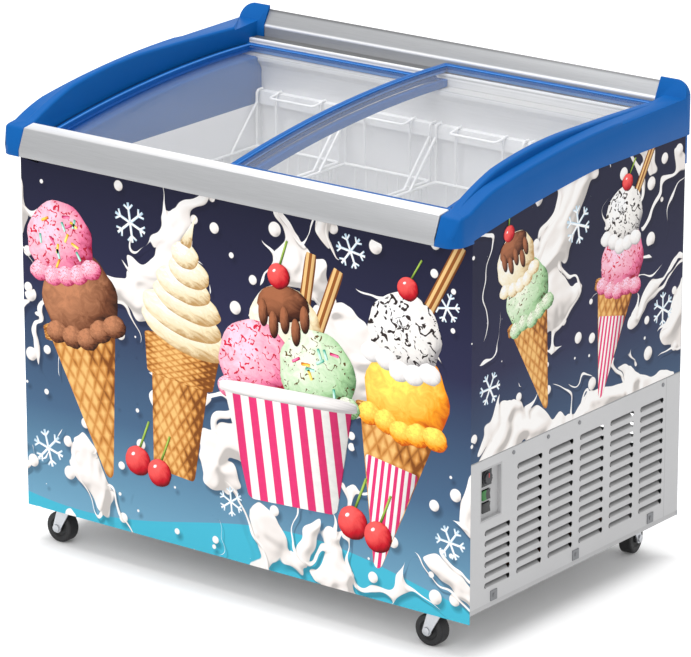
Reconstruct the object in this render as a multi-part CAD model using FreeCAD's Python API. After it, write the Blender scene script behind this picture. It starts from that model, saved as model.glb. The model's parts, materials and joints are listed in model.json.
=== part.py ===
"""Ice cream freezer: an insulated chest on swivel casters with two curved sliding glass lids.

Millimetres. +X is to the right, +Y to the rear, +Z up. The origin is on the floor, under the
middle of the outer box. Each sub-part is written to parts/NAME.step.
"""
import FreeCAD
import Part
import math
import os

# Cabinet
cabinet_width = 960.0        # over the side panels
cabinet_depth = 616.0        # front panel face to rear panel face
base_height = 79.0           # floor to the underside of the base pan
body_height = 693.0          # floor to the top of the insulated body
skin = 1.0                   # sheet of the outer panels
base_sheet = 2.0             # sheet of the base pan
base_flange = 20.0           # turned-up edge of the base pan behind the grille
front_skirt = 14.0           # front panel below the base pan
fit = 0.3                    # gap between parts that are put together
run_gap = 2.0                # gap beside parts that slide

# Insulation and liner
side_wall = 80.0             # side panel face to the liner's inner face
end_wall = 50.0              # the same at the front and the rear
floor_wall = 62.0            # base pan underside to the liner floor
liner_sheet = 1.2
liner_flange = 30.0          # turned-out edge on top of the foam
bay_width = 230.0            # machine bay, from the right panel inwards
bay_height = 255.0
bay_sheet = 1.0
bay_cover = 58.0             # insulation between the bay and the liner

# Lids
lid_radius = 2700.0          # top of the upper lid's bars
lid_rise = 125.0             # body top to the highest point of the upper lid
lid_peak_setback = 88.0      # rear panel face to that point
lid_gap = 8.0                # between the two lids, one above the other
lid_lap = 16.0               # each lid past the middle
bar_width = 20.0
bar_height = 14.0
glass_sheet = 5.0
glass_drop = 2.0             # glass below the top of the bars
glass_bite = 8.0             # glass let into the bars
upper_lead = 8.0             # upper lid ahead of the front panel face
upper_tail = 14.0            # upper lid ahead of the rear panel face
notch_length = 90.0          # finger notch in the upper lid's front bar
notch_start = 50.0
notch_depth = 7.0
brush_height = 6.0
brush_width = 8.0

# Rails
nose_overhang = 50.0         # front rail ahead of the front panel
rear_overhang = 6.0          # rear rail behind the rear panel
nose_drop = 24.0             # body top to the underside of the nose
nose_kink = 12.0             # upright foot of the nose
nose_lean = 15.0
nose_crown = 4.0             # fall of the nose's top towards the front
lip_rise = 5.0               # front lip above the upper lid
rail_wall = 2.5
rear_step = 20.0             # body top to the foot of the rear rail's back
rear_lip = 11.0              # lower track ahead of the rear wall
rear_lip_height = 10.0
crest_rise = 6.0             # slanted rear face, above the upper lid
crest_height = 28.0
crest_lean = 16.5
crest_round = 8.0
crest_crown = 0.35
basket_rail_depth = 14.0
basket_rail_height = 24.0

# End caps
cap_overhang = 3.0           # beyond the side panels
cap_wall = 43.0              # outer face to the face beside the lids
arch_wall = 17.0             # raised arch beside the lids
cap_shell = 3.0
rim_rise = 136.5             # body top to the level part of the outer rim
rim_level = 166.0            # length of that level part ahead of the rear panel face
rim_foot = 60.0              # end of the rim's short front curve behind the front panel face
rim_foot_rise = 102.0
rim_foot_crown = 2.0
arch_rise = 140.5
arch_peak = 316.0            # arch's highest point ahead of the rear panel face
arch_merge = 76.0            # where the arch meets the rim, ahead of the rear panel face
arch_foot = 98.0             # end of the arch's short front curve behind the front panel face
arch_foot_rise = 120.5
arch_foot_crown = 3.0
band_front = 29.0            # lower edge of the outer band above the body top
band_rear = 71.0
band_level = 276.0           # level part of that edge ahead of the rear panel face
band_crown = 4.0
band_lap = 10.0              # panel behind the band
nose_corner = 25.0
hump_rise = 164.0            # rear corner hump above the body top
hump_width = 59.0
hump_round = 26.0
hump_proud = 1.5
shelf_gap = 2.0              # cap's inner shelf below the lower lid

# Baskets
basket_count = 4
basket_gap = 8.0
basket_clear = 6.0           # basket end to its rail
basket_drop = 74.0           # body top to the basket rim
basket_floor_gap = 20.0      # basket floor above the step in the liner
net_wire = 3.0
net_pitch = 25.0
net_rows = 2                 # of gaps in a wall net
floor_pitch = 50.0
rim_wire = 6.0
hook_wire = 5.0
hook_reach = 8.0             # hook over its rail
brace_run = 75.0
handle_width = 105.0

# Grille and controls
grille_lift = 9.0            # base pan underside to the grille's lower edge
grille_over = 5.0            # grille above the bay's ceiling
panel_seam = 2.0
louvre_length = 72.0
louvre_height = 10.0
louvre_depth = 8.0
louvre_pitch_y = 90.5
louvre_pitch_z = 18.4
louvre_front = 41.0          # front panel face to the first column
louvre_rear = 50.0           # last column to the rear panel face, at least
louvre_bottom = 27.0         # grille's lower edge to the first slot
louvre_top = 30.0            # last slot to the grille's upper edge, at least
louvre_clear = 5.0           # slots below the control plate, at least
clip_places = (67.0, 304.0)  # from the front panel face
clip_rear = 86.0             # last clip ahead of the rear panel face
clip_size = 18.0
clip_sheet = 1.5
screw_places = (120.0, 219.0, 310.0)
screw_rear = 54.0
screw_radius = 3.5
screw_head = 1.2
screw_inset = 9.0
control_front = 28.0
control_drop = 11.0          # bay's ceiling to the control plate
control_width = 60.0
control_height = 91.0
control_wall = 2.5
control_depth = 9.0
dial_radius = 13.0
dial_height = 6.0
dial_shaft = 3.0
dial_place = (24.0, 72.0)    # from the control plate's lower front corner
thermostat_size = 34.0
switch_places = ((22.0, 43.0), (22.0, 21.0))
rocker_width = 22.0
rocker_height = 17.0
rocker_depth = 9.0
rocker_proud = 3.0
rocker_clear = 0.8
rocker_pin = 1.5
switch_depth = 22.0
switch_wall = 2.0

# Casters
wheel_diameter = 56.0
wheel_width = 24.0
wheel_shoulder = 4.0
hub_radius = 15.0
hub_neck = 8.0
hub_slope = 1.0
hub_recess = 3.0
axle_radius = 4.0
axle_head = 7.0
axle_head_thick = 3.0
caster_trail = 21.0
caster_inset_x = 75.0
caster_inset_front = 29.0
caster_inset_rear = 46.0
caster_plate = 52.0
caster_plate_thick = 3.0
fork_leg = 3.0
fork_gap = 2.0
fork_head = 17.0
fork_heel = 13.0
fork_head_thick = 5.0
fork_eye = 9.0
pivot_radius = 5.0
front_heading = 180.0        # way each wheel trails, in degrees from +X
rear_heading = 100.0

# Machinery
evaporator_tube = 8.0
evaporator_pitch = 44.0
evaporator_low = 40.0        # first turn above the step in the liner
evaporator_top = 35.0        # last turn below the body top, at least
evaporator_bend = 16.0
riser_offset = 18.0          # return line outside the turns
riser_low = 170.0            # the two tails, ahead of the rear panel face
riser_high = 156.0
channel = 14.0
compressor_radius = 75.0
compressor_head = 64.0       # tops of its ports to the bay's ceiling
compressor_dome = 30.0
compressor_setback = 190.0   # rear panel face to its axis
compressor_x = 115.0         # right panel to its axis
foot_height = 14.0
foot_radius = 12.0
foot_spread = 60.0
foot_plate = 4.0
terminal_size = (60.0, 26.0, 60.0)
condenser_depth = 40.0
condenser_front = 108.0
condenser_gap = 8.0          # condenser to the bay wall
condenser_side = 61.0        # condenser to the grille
condenser_lift = 12.0
condenser_head = 43.0        # condenser to the bay's ceiling
fin_count = 20
fin_sheet = 1.0
condenser_rows = 4
condenser_pipe = 5.0
shroud_sheet = 2.0
shroud_ring = 34.0
fan_margin = 8.0             # blade tip to the condenser's edge
fan_tip_gap = 5.0
fan_hub = 20.0
fan_depth = 18.0
fan_gap = 6.0
blade_count = 5
blade_sheet = 2.0
blade_pitch = 28.0
motor_radius = 32.0
motor_length = 46.0
shaft_radius = 3.0
arm_width = 12.0
arm_sheet = 4.0
drier_radius = 11.0
drier_length = 90.0
pipe_radius = 3.5
pipe_bend = 14.0
pipe_lane = 28.0             # pipes beside the condenser
pipe_drop = 35.0             # pipes below the bay ceiling
port_radius = 6.0            # stubs on the compressor's dome
port_rise = 8.0
port_spread = 40.0
drain_x = -250.0
drain_radius = 10.0
drain_wall = 1.5
drain_flange = 16.0
drain_proud = 6.0
plug_length = 14.0
plug_head = 4.0
gland_radius = 9.0
gland_height = 45.0
gland_inset = 60.0
gland_proud = 5.0
gland_wall = 4.0
gland_inside = 14.0
vent_rows = 8
vent_length = 120.0
vent_height = 6.0
vent_pitch = 16.0

# Planes that the parts share
half_width = cabinet_width / 2
overall_depth = cabinet_depth + nose_overhang + rear_overhang
front_y = nose_overhang - overall_depth / 2
rear_y = front_y + cabinet_depth
nose_y = front_y - nose_overhang
back_y = rear_y + rear_overhang
inner_x = half_width - skin
inner_front = front_y + skin
inner_rear = rear_y - skin
base_top = base_height + base_sheet
tub_x = half_width - side_wall
tub_front = front_y + end_wall
tub_rear = rear_y - end_wall
tub_floor = base_height + floor_wall
bay_x = inner_x - bay_width
bay_top = base_top + bay_height
step_x = bay_x - bay_cover
step_z = bay_top + bay_cover
grille_bottom = base_height + grille_lift
grille_top = bay_top + grille_over
cap_x = half_width + cap_overhang
arch_in = cap_x - cap_wall
arch_out = arch_in + arch_wall
hump_in = cap_x - hump_width
lid_end = arch_in - run_gap
lid_peak_y = rear_y - lid_peak_setback
lid_centre_z = body_height + lid_rise - lid_radius
upper_radius = lid_radius
lower_radius = lid_radius - bar_height - lid_gap
nose_bottom = body_height + nose_drop


def lid_z(radius, y):
    """Height of a lid surface of the given radius at y."""
    return lid_centre_z + math.sqrt(radius ** 2 - (y - lid_peak_y) ** 2)


# Lid bars and their tracks
upper_front = front_y - upper_lead
upper_rear = rear_y - upper_tail
lower_front = upper_front + bar_width + run_gap
lower_rear = upper_rear - bar_width - 2 * run_gap
upper_sill = lid_z(upper_radius, upper_front) - bar_height
lower_sill = lid_z(lower_radius, lower_front) - bar_height
upper_back_sill = lid_z(upper_radius, upper_rear) - bar_height
lower_back_sill = lid_z(lower_radius, lower_rear) - bar_height
lip_z = lid_z(upper_radius, upper_front) + lip_rise
lip_y = upper_front - run_gap
rear_lip_y = tub_rear - rear_lip
track_step_y = lower_rear + run_gap
crest_y = upper_rear + run_gap
crest_z = lid_z(upper_radius, upper_rear) + crest_rise


def box(x0, x1, y0, y1, z0, z1):
    """Box between two planes on each axis."""
    return Part.makeBox(x1 - x0, y1 - y0, z1 - z0, FreeCAD.Vector(x0, y0, z0))


def cylinder(radius, start, direction, length):
    """Cylinder from a point along a direction."""
    return Part.makeCylinder(radius, length, FreeCAD.Vector(*start), FreeCAD.Vector(*direction))


def outline(steps, place):
    """Closed wire through (a, b) points; a step of four numbers is an arc through its first point."""
    edges = []
    last = steps[0]
    for step in steps[1:] + [steps[0]]:
        end = step[-2:]
        if len(step) == 4:
            edges.append(Part.Arc(place(*last), place(*step[:2]), place(*end)).toShape())
        elif math.dist(last, end) > 1e-6:
            edges.append(Part.makeLine(place(*last), place(*end)))
        last = end
    return Part.Wire(edges)


def prism_x(steps, x0, x1, holes=()):
    """Outline in Y and Z, pushed along X."""
    wires = [outline(path, lambda y, z: FreeCAD.Vector(x0, y, z)) for path in [steps, *holes]]
    return Part.makeFace(wires, "Part::FaceMakerCheese").extrude(FreeCAD.Vector(x1 - x0, 0, 0))


def prism_y(steps, y0, y1, holes=()):
    """Outline in X and Z, pushed along Y."""
    wires = [outline(path, lambda x, z: FreeCAD.Vector(x, y0, z)) for path in [steps, *holes]]
    return Part.makeFace(wires, "Part::FaceMakerCheese").extrude(FreeCAD.Vector(0, y1 - y0, 0))


def prism_z(steps, z0, z1, holes=()):
    """Outline in X and Y, pushed along Z."""
    wires = [outline(path, lambda x, y: FreeCAD.Vector(x, y, z0)) for path in [steps, *holes]]
    return Part.makeFace(wires, "Part::FaceMakerCheese").extrude(FreeCAD.Vector(0, 0, z1 - z0))


def rectangle(a0, a1, b0, b1):
    """Corner points of a rectangle."""
    return [(a0, b0), (a1, b0), (a1, b1), (a0, b1)]


def slot(a0, a1, b0, b1):
    """Slot along the first axis with half-round ends."""
    half = (b1 - b0) / 2
    middle = b0 + half
    return [(a0 + half, b0), (a1 - half, b0), (a1, middle, a1 - half, b1), (a0 + half, b1),
            (a0, middle, a0 + half, b0)]


def grid_holes(a0, a1, b0, b1, columns, rows, bar):
    """Rectangles of a net with bars between them and round the edge."""
    step_a = (a1 - a0 - bar) / columns
    step_b = (b1 - b0 - bar) / rows
    holes = []
    for column in range(columns):
        for row in range(rows):
            a = a0 + bar + column * step_a
            b = b0 + bar + row * step_b
            holes.append(rectangle(a, a + step_a - bar, b, b + step_b - bar))
    return holes


def copies(span, length, pitch):
    """How many copies of a length fit in a span at a pitch."""
    return int((span - length) // pitch) + 1


def join(shapes):
    """One solid from shapes that meet."""
    return shapes[0].multiFuse(shapes[1:]).removeSplitter()


def mirror(shape):
    """The same shape on the other side of the middle plane."""
    return shape.mirror(FreeCAD.Vector(0, 0, 0), FreeCAD.Vector(1, 0, 0))


def tube(points, radius, bend):
    """Round bar along straight runs joined by tangent arcs."""
    corners = [FreeCAD.Vector(*point) for point in points]
    edges = []
    last = corners[0]
    for before, corner, after in zip(corners, corners[1:], corners[2:]):
        into = (corner - before).normalize()
        out = (after - corner).normalize()
        turn = into.getAngle(out)
        cut = bend * math.tan(turn / 2)
        start = corner - into * cut
        end = corner + out * cut
        inward = (out - into).normalize()
        middle = corner + inward * (bend / math.cos(turn / 2) - bend)
        edges.append(Part.makeLine(last, start))
        edges.append(Part.Arc(start, middle, end).toShape())
        last = end
    edges.append(Part.makeLine(last, corners[-1]))
    path = Part.Wire(edges)
    section = Part.Wire([Part.makeCircle(radius, corners[0], corners[1] - corners[0])])
    return path.makePipeShell([section], True, False)


def tangent_arc(start, peak):
    """Step from start to peak along an arc that is level at the peak."""
    run = peak[0] - start[0]
    rise = peak[1] - start[1]
    radius = (run ** 2 + rise ** 2) / (2 * rise)
    centre = (peak[0], peak[1] - radius)
    half = math.asin(abs(run) / abs(radius)) / 2
    side = -1 if run > 0 else 1
    middle = (centre[0] + side * abs(radius) * math.sin(half), centre[1] + radius * math.cos(half))
    return (*middle, *peak)


def sag_arc(start, end, crown):
    """Step from start to end along an arc that stands off its chord by crown."""
    span = math.dist(start, end)
    normal = (-(end[1] - start[1]) / span, (end[0] - start[0]) / span)
    return ((start[0] + end[0]) / 2 + normal[0] * crown, (start[1] + end[1]) / 2 + normal[1] * crown, *end)


def lid_arc(radius, y0, y1):
    """Step along a lid surface from y0 to y1."""
    middle = (y0 + y1) / 2
    return (middle, lid_z(radius, middle), y1, lid_z(radius, y1))


def lid_band(top, bottom, y0, y1, x0, x1):
    """Curved bar or sheet between two radii."""
    steps = [(y0, lid_z(bottom, y0)), (y0, lid_z(top, y0)), lid_arc(top, y0, y1),
             (y1, lid_z(bottom, y1)), lid_arc(bottom, y1, y0)]
    return prism_x(steps, x0, x1)


def band_edge():
    """Lower edge of the end caps' outer band, front to rear, as outline steps."""
    start = (front_y, body_height + band_front)
    end = (rear_y - band_level, body_height + band_rear)
    return start, sag_arc(start, end, band_crown)


def side_panel_steps(bottom, top_gap):
    """Side panel outline whose top edge follows the caps' band."""
    start, arc = band_edge()
    lift = band_lap - top_gap
    top_rear = body_height + band_rear + lift
    return [(inner_front, bottom), (inner_front, start[1] + lift),
            (arc[0], arc[1] + lift, arc[2], arc[3] + lift),
            (inner_rear - fit, top_rear), (inner_rear - fit, bottom)]


def make_panels():
    """Outer skins and the base pan."""
    front = box(-half_width, half_width, front_y, inner_front, base_height - front_skirt, nose_bottom - fit)
    side = prism_x(side_panel_steps(base_height, fit), inner_x, half_width)
    upper_side = prism_x(side_panel_steps(grille_top + panel_seam, fit), inner_x, half_width)
    gland_x = inner_x - gland_inset
    vents = []
    for row in range(vent_rows):
        low = bay_top - (row + 2) * vent_pitch
        vents.append(slot(gland_x - vent_length, gland_x, low, low + vent_height))
    rear_face = rectangle(-half_width, half_width, base_height, body_height + rear_step - fit)
    rear = prism_y(rear_face, inner_rear, rear_y, vents)
    gland_start = (gland_x, inner_rear, base_top + gland_height)
    gland_hole = cylinder(gland_radius + fit, gland_start, (0, 1, 0), skin)
    floor = box(-inner_x, inner_x, inner_front, inner_rear, base_height, base_top)
    flange = box(inner_x - base_sheet, inner_x, inner_front, inner_rear, base_top, base_top + base_flange)
    drain_hole = cylinder(drain_radius + fit, (drain_x, 0, base_height), (0, 0, 1), base_sheet)
    pan = join([floor, flange]).cut(drain_hole)
    return {"front_panel": front, "left_panel": mirror(side), "right_panel": upper_side,
            "rear_panel": rear.cut(gland_hole), "base_pan": pan}


def liner_outer(grow, top):
    """Space that the stepped liner takes, grown outwards."""
    out = liner_sheet + grow
    deep = box(-tub_x - out, step_x + out, tub_front - out, tub_rear + out, tub_floor - out, top)
    shallow = box(step_x, tub_x + out, tub_front - out, tub_rear + out, step_z - out, top)
    return join([deep, shallow])


def make_liner():
    """Liner of flat sheets: four walls with turned-out edges, step and floor."""
    sheet = liner_sheet
    flange_low = body_height - sheet
    drain_hole = cylinder(drain_radius + fit, (drain_x, 0, tub_floor - sheet), (0, 0, 1), sheet)
    walls = []
    front_steps = [(-tub_x, tub_floor), (step_x, tub_floor), (step_x, step_z), (tub_x, step_z),
                   (tub_x, body_height), (-tub_x, body_height)]
    for face, edge in ((tub_front, -1), (tub_rear, 1)):
        wall = prism_y(front_steps, min(face, face + edge * sheet), max(face, face + edge * sheet))
        rim = sorted((face, face + edge * liner_flange))
        flange = box(-tub_x, tub_x, rim[0], rim[1], flange_low, body_height)
        walls.append(join([wall, flange]))
    for side, low in ((-1, tub_floor), (1, step_z)):
        span = sorted((side * tub_x, side * (tub_x + sheet)))
        rim = sorted((side * tub_x, side * (tub_x + liner_flange)))
        wall = box(*span, tub_front - sheet, tub_rear + sheet, low, body_height)
        flange = box(*rim, tub_front - liner_flange, tub_rear + liner_flange, flange_low, body_height)
        walls.append(join([wall, flange]))
    depth = (tub_front - sheet, tub_rear + sheet)
    floor = box(-tub_x - sheet, step_x, *depth, tub_floor - sheet, tub_floor)
    riser = box(step_x, step_x + sheet, *depth, tub_floor - sheet, step_z - sheet)
    step = box(step_x, tub_x + sheet, *depth, step_z - sheet, step_z)
    return Part.makeCompound(walls + [floor.cut(drain_hole), riser, step])


def evaporator_stand():
    """Tube centre to liner, so that its bends clear the liner's corners."""
    return (evaporator_tube / 2 + fit + evaporator_bend * (math.sqrt(2) - 1)) / math.sqrt(2)


def evaporator_points():
    """Corner points of the evaporator: one tail up, turns round the liner, one tail down."""
    stand = evaporator_stand()
    side = tub_x + liner_sheet + stand
    front = tub_front - liner_sheet - stand
    rear = tub_rear + liner_sheet + stand
    low = step_z + evaporator_low
    points = [(side, rear_y - riser_low, bay_top - bay_sheet), (side, rear_y - riser_low, low)]
    turns = int((body_height - evaporator_top - low) // evaporator_pitch)
    for turn in range(turns):
        z = low + turn * evaporator_pitch
        points += [(side, front, z), (-side, front, z), (-side, rear, z), (side, rear, z + evaporator_pitch)]
    high = low + turns * evaporator_pitch
    outside = side + riser_offset
    points += [(side, rear_y - riser_high, high), (outside, rear_y - riser_high - 2 * evaporator_bend, high)]
    tail_y = rear_y - riser_high - 4 * evaporator_bend
    points += [(outside, tail_y, high), (outside, tail_y, bay_top - bay_sheet)]
    return points


def make_insulation():
    """Foam between the skins and the liner, the bay wall and the evaporator tube."""
    points = evaporator_points()
    low_tail = points[0]
    high_tail = points[-1]
    block = box(-inner_x, inner_x, inner_front, inner_rear, base_top, body_height - liner_sheet)
    bay = box(bay_x, inner_x, inner_front, inner_rear, base_top, bay_top)
    pocket = evaporator_stand() + evaporator_tube / 2 + fit
    pocket_low = step_z + evaporator_low - evaporator_tube
    pocket_high = points[-2][2] + evaporator_tube
    ring = liner_outer(pocket, pocket_high)
    ring = ring.common(box(-inner_x, inner_x, inner_front, inner_rear, pocket_low, pocket_high))
    half = channel / 2
    riser_space = box(low_tail[0] - half, high_tail[0] + half, high_tail[1] - half,
                      rear_y - riser_high + evaporator_bend, bay_top, pocket_high)
    drain = cylinder(drain_radius + fit, (drain_x, 0, base_top), (0, 0, 1), floor_wall)
    foam = block.cut(bay).cut(liner_outer(0, body_height)).cut(ring).cut(riser_space).cut(drain)
    wall_steps = [(bay_x, base_top), (bay_x, bay_top), (inner_x, bay_top), (inner_x, bay_top - bay_sheet),
                  (bay_x + bay_sheet, bay_top - bay_sheet), (bay_x + bay_sheet, base_top)]
    wall = prism_y(wall_steps, inner_front, inner_rear)
    for tail in (low_tail, high_tail):
        foot = (tail[0], tail[1], bay_top - bay_sheet)
        wall = wall.cut(cylinder(evaporator_tube / 2 + fit, foot, (0, 0, 1), bay_sheet))
    coil = tube(points, evaporator_tube / 2, evaporator_bend)
    return {"foam_insulation": foam, "machine_bay_wall": wall, "evaporator_tube": coil}


def nose_steps():
    """Front face of the front rail and of the caps' noses, foot to lip."""
    return [(nose_y, nose_bottom), (nose_y, nose_bottom + nose_kink),
            (nose_y + nose_lean, lip_z - nose_crown), (lip_y, lip_z)]


def make_rails():
    """Aluminium rails with the lid tracks, and the rails that the baskets hang on."""
    upper_ledge = upper_sill - fit
    lower_ledge = lower_sill - fit
    ledge_y = lower_front - run_gap / 2
    front_steps = nose_steps() + [
        (lip_y, upper_ledge), (ledge_y, upper_ledge), (ledge_y, lower_ledge), (tub_front, lower_ledge),
        (tub_front, body_height), (inner_front, body_height), (inner_front, nose_bottom)]
    wall = rail_wall
    nose_hollow = [(nose_y + wall, nose_bottom + wall), (nose_y + wall, nose_bottom + nose_kink),
                   (nose_y + nose_lean + wall, lip_z - nose_crown - 2 * wall),
                   (lip_y - wall, lip_z - 2 * wall), (lip_y - wall, nose_bottom + wall)]
    body_hollow = rectangle(inner_front + wall, tub_front - wall, body_height + wall, lower_ledge - wall)
    front = prism_x(front_steps, -arch_in, arch_in, [nose_hollow, body_hollow])

    upper_back = upper_back_sill - fit
    lower_back = lower_back_sill - fit
    lip_low = lower_back - rear_lip_height
    foot = body_height + rear_step
    track = [(tub_rear, body_height), (tub_rear, lip_low - rear_lip), (rear_lip_y, lip_low),
             (rear_lip_y, lower_back), (track_step_y, lower_back), (track_step_y, upper_back)]
    base = [(back_y, foot), (inner_rear, foot), (inner_rear, body_height)]
    hollow = [(tub_rear + wall, body_height + wall), (inner_rear - wall, body_height + wall),
              (inner_rear - wall, foot + wall), (back_y - wall, foot + wall),
              (back_y - wall, upper_back - wall), (track_step_y + wall, upper_back - wall),
              (track_step_y + wall, lower_back - wall), (tub_rear + wall, lower_back - wall)]
    crest_top = (crest_y + crest_lean, crest_z + crest_height)
    crest_end = (back_y, crest_top[1] - crest_round)
    crest = [(crest_y, upper_back), (crest_y, crest_z), crest_top, sag_arc(crest_top, crest_end, crest_crown)]
    middle = prism_x(track + crest + base, -hump_in, hump_in, [hollow])
    end = prism_x(track + [(back_y, upper_back)] + base, hump_in, arch_in, [hollow])
    rear = join([middle, end, mirror(end)])

    top = body_height + basket_rail_height
    front_bar = box(-tub_x, tub_x, tub_front, tub_front + basket_rail_depth, body_height, top)
    rear_bar = box(-tub_x, tub_x, tub_rear - basket_rail_depth, tub_rear, body_height, top)
    return {"front_rail": front, "rear_rail": rear,
            "front_basket_rail": front_bar, "rear_basket_rail": rear_bar}


def make_end_caps():
    """Blue end caps: nose, outer rim, raised arch, rear hump and the shelf under the lids."""
    rim_z = body_height + rim_rise
    rim_peak = (rear_y - rim_level, rim_z)
    foot = body_height + rear_step
    base = [(back_y, foot), (inner_rear, foot), (inner_rear, body_height), (inner_front, body_height),
            (inner_front, nose_bottom)]
    nose = nose_steps()
    rim_start = (front_y + rim_foot, body_height + rim_foot_rise)
    rim_steps = nose + [sag_arc(nose[-1], rim_start, rim_foot_crown), tangent_arc(rim_start, rim_peak),
                        (back_y, rim_z)] + base
    rim = prism_x(rim_steps, arch_out, cap_x)
    arch_top = (rear_y - arch_peak, body_height + arch_rise)
    arch_end = (rear_y - arch_merge, rim_z)
    arch_start = (front_y + arch_foot, body_height + arch_foot_rise)
    fall = tangent_arc(arch_end, arch_top)
    arch_steps = nose + [sag_arc(nose[-1], arch_start, arch_foot_crown), tangent_arc(arch_start, arch_top),
                         (fall[0], fall[1], *arch_end), (back_y, rim_z)] + base
    arch = prism_x(arch_steps, arch_in, arch_out)

    upper_back = upper_back_sill - fit
    lower_back = lower_back_sill - fit
    hump_z = body_height + hump_rise
    hump_front = crest_y - hump_proud
    hump_side = [(hump_front, upper_back), (hump_front, crest_z),
                 (hump_front + crest_lean, hump_z), (back_y, hump_z), (back_y, upper_back)]
    corner = hump_round * (1 - math.sqrt(0.5))
    hump_face = [(hump_in, upper_back), (cap_x, upper_back), (cap_x, hump_z - hump_round),
                 (cap_x - corner, hump_z - corner, cap_x - hump_round, hump_z), (hump_in, hump_z)]
    hump = prism_x(hump_side, hump_in, cap_x).common(prism_y(hump_face, hump_front, back_y))

    shelf_top = lower_radius - bar_height - shelf_gap
    shelf_rear = rear_lip_y - fit
    lip_low = lower_back - rear_lip_height - fit
    shelf_steps = [(tub_front, body_height), (tub_front, lid_z(shelf_top, tub_front)),
                   lid_arc(shelf_top, tub_front, shelf_rear), (shelf_rear, lip_low),
                   (tub_rear, lip_low - rear_lip - fit), (tub_rear, body_height)]
    shelf = prism_x(shelf_steps, tub_x, arch_in)
    cap = join([rim, arch, hump, shelf])

    plan_corner = nose_corner * (1 - math.sqrt(0.5))
    plan = [(tub_x, nose_y), (cap_x - nose_corner, nose_y),
            (cap_x - plan_corner, nose_y + plan_corner, cap_x, nose_y + nose_corner),
            (cap_x, back_y), (tub_x, back_y)]
    cap = cap.common(prism_z(plan, body_height, hump_z))

    start, arc = band_edge()
    below = [(front_y, body_height), start, arc, (back_y, body_height + band_rear), (back_y, body_height)]
    cap = cap.cut(prism_x(below, inner_x - fit, cap_x))
    tuck = [(front_y, body_height), (front_y, start[1] + band_lap),
            (arc[0], arc[1] + band_lap, arc[2], arc[3] + band_lap),
            (inner_rear, body_height + band_rear + band_lap), (inner_rear, body_height)]
    cap = cap.cut(prism_x(tuck, inner_x - fit, half_width + fit))

    shell = cap_shell
    hollow_start = (inner_front + shell, lip_z - 2 * shell)
    hollow_foot = (rim_start[0], rim_start[1] - 2 * shell)
    hollow_peak = (rim_peak[0], rim_z - 2 * shell)
    hollow = [(inner_front + shell, body_height), hollow_start, hollow_foot,
              tangent_arc(hollow_foot, hollow_peak), (crest_y - shell, rim_z - 2 * shell),
              (crest_y - shell, body_height)]
    cap = cap.cut(prism_x(hollow, arch_in + shell, inner_x - fit - shell))
    under = shelf_top - shell
    shelf_hollow = [(tub_front + shell, body_height), (tub_front + shell, lid_z(under, tub_front + shell)),
                    lid_arc(under, tub_front + shell, shelf_rear - shell), (shelf_rear - shell, body_height)]
    cap = cap.cut(prism_x(shelf_hollow, tub_x + shell, arch_in + shell))
    return {"right_end_cap": cap, "left_end_cap": mirror(cap)}


def make_lid(name, radius, front, rear, x0, x1, notched):
    """One sliding lid: glass let into a front bar, a rear bar and two curved side bars."""
    bottom = radius - bar_height
    glass_top = radius - glass_drop
    inset = bar_width - glass_bite
    glass = lid_band(glass_top, glass_top - glass_sheet, front + inset, rear - inset, x0 + inset, x1 - inset)
    groove = lid_band(glass_top + fit, glass_top - glass_sheet - fit, front + inset - fit, rear - inset + fit,
                      x0 + inset - fit, x1 - inset + fit)
    front_steps = [(front, lid_z(bottom, front)), (front + bar_width, lid_z(bottom, front)),
                   (front + bar_width, lid_z(radius, front + bar_width)), (front, lid_z(radius, front))]
    rear_steps = [(rear - bar_width, lid_z(bottom, rear)), (rear, lid_z(bottom, rear)),
                  (rear, lid_z(radius, rear)), (rear - bar_width, lid_z(radius, rear - bar_width))]
    front_bar = prism_x(front_steps, x0, x1)
    if notched:
        start = x0 + notch_start
        notch = box(start, start + notch_length, front, front + bar_width - glass_bite - fit,
                    lid_z(radius, front) - notch_depth, lid_z(radius, front + bar_width))
        front_bar = front_bar.cut(notch)
    sides = [lid_band(radius, bottom, front + bar_width, rear - bar_width, left, left + bar_width).cut(groove)
             for left in (x0, x1 - bar_width)]
    return {name + "_lid_glass": glass, name + "_lid_front_bar": front_bar.cut(groove),
            name + "_lid_rear_bar": prism_x(rear_steps, x0, x1).cut(groove),
            name + "_lid_side_bars": Part.makeCompound(sides)}


def make_lids():
    """Lower lid on the left, upper lid on the right, and the brush between them."""
    parts = make_lid("left", lower_radius, lower_front, lower_rear, -lid_end, lid_lap, False)
    parts.update(make_lid("right", upper_radius, upper_front, upper_rear, -lid_lap, lid_end, True))
    under = upper_radius - bar_height
    left = -lid_lap + (bar_width - brush_width) / 2
    brush = lid_band(under, under - brush_height, lower_front + bar_width, lower_rear - bar_width,
                     left, left + brush_width)
    parts["right_lid_brush_seal"] = brush
    return parts


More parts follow.
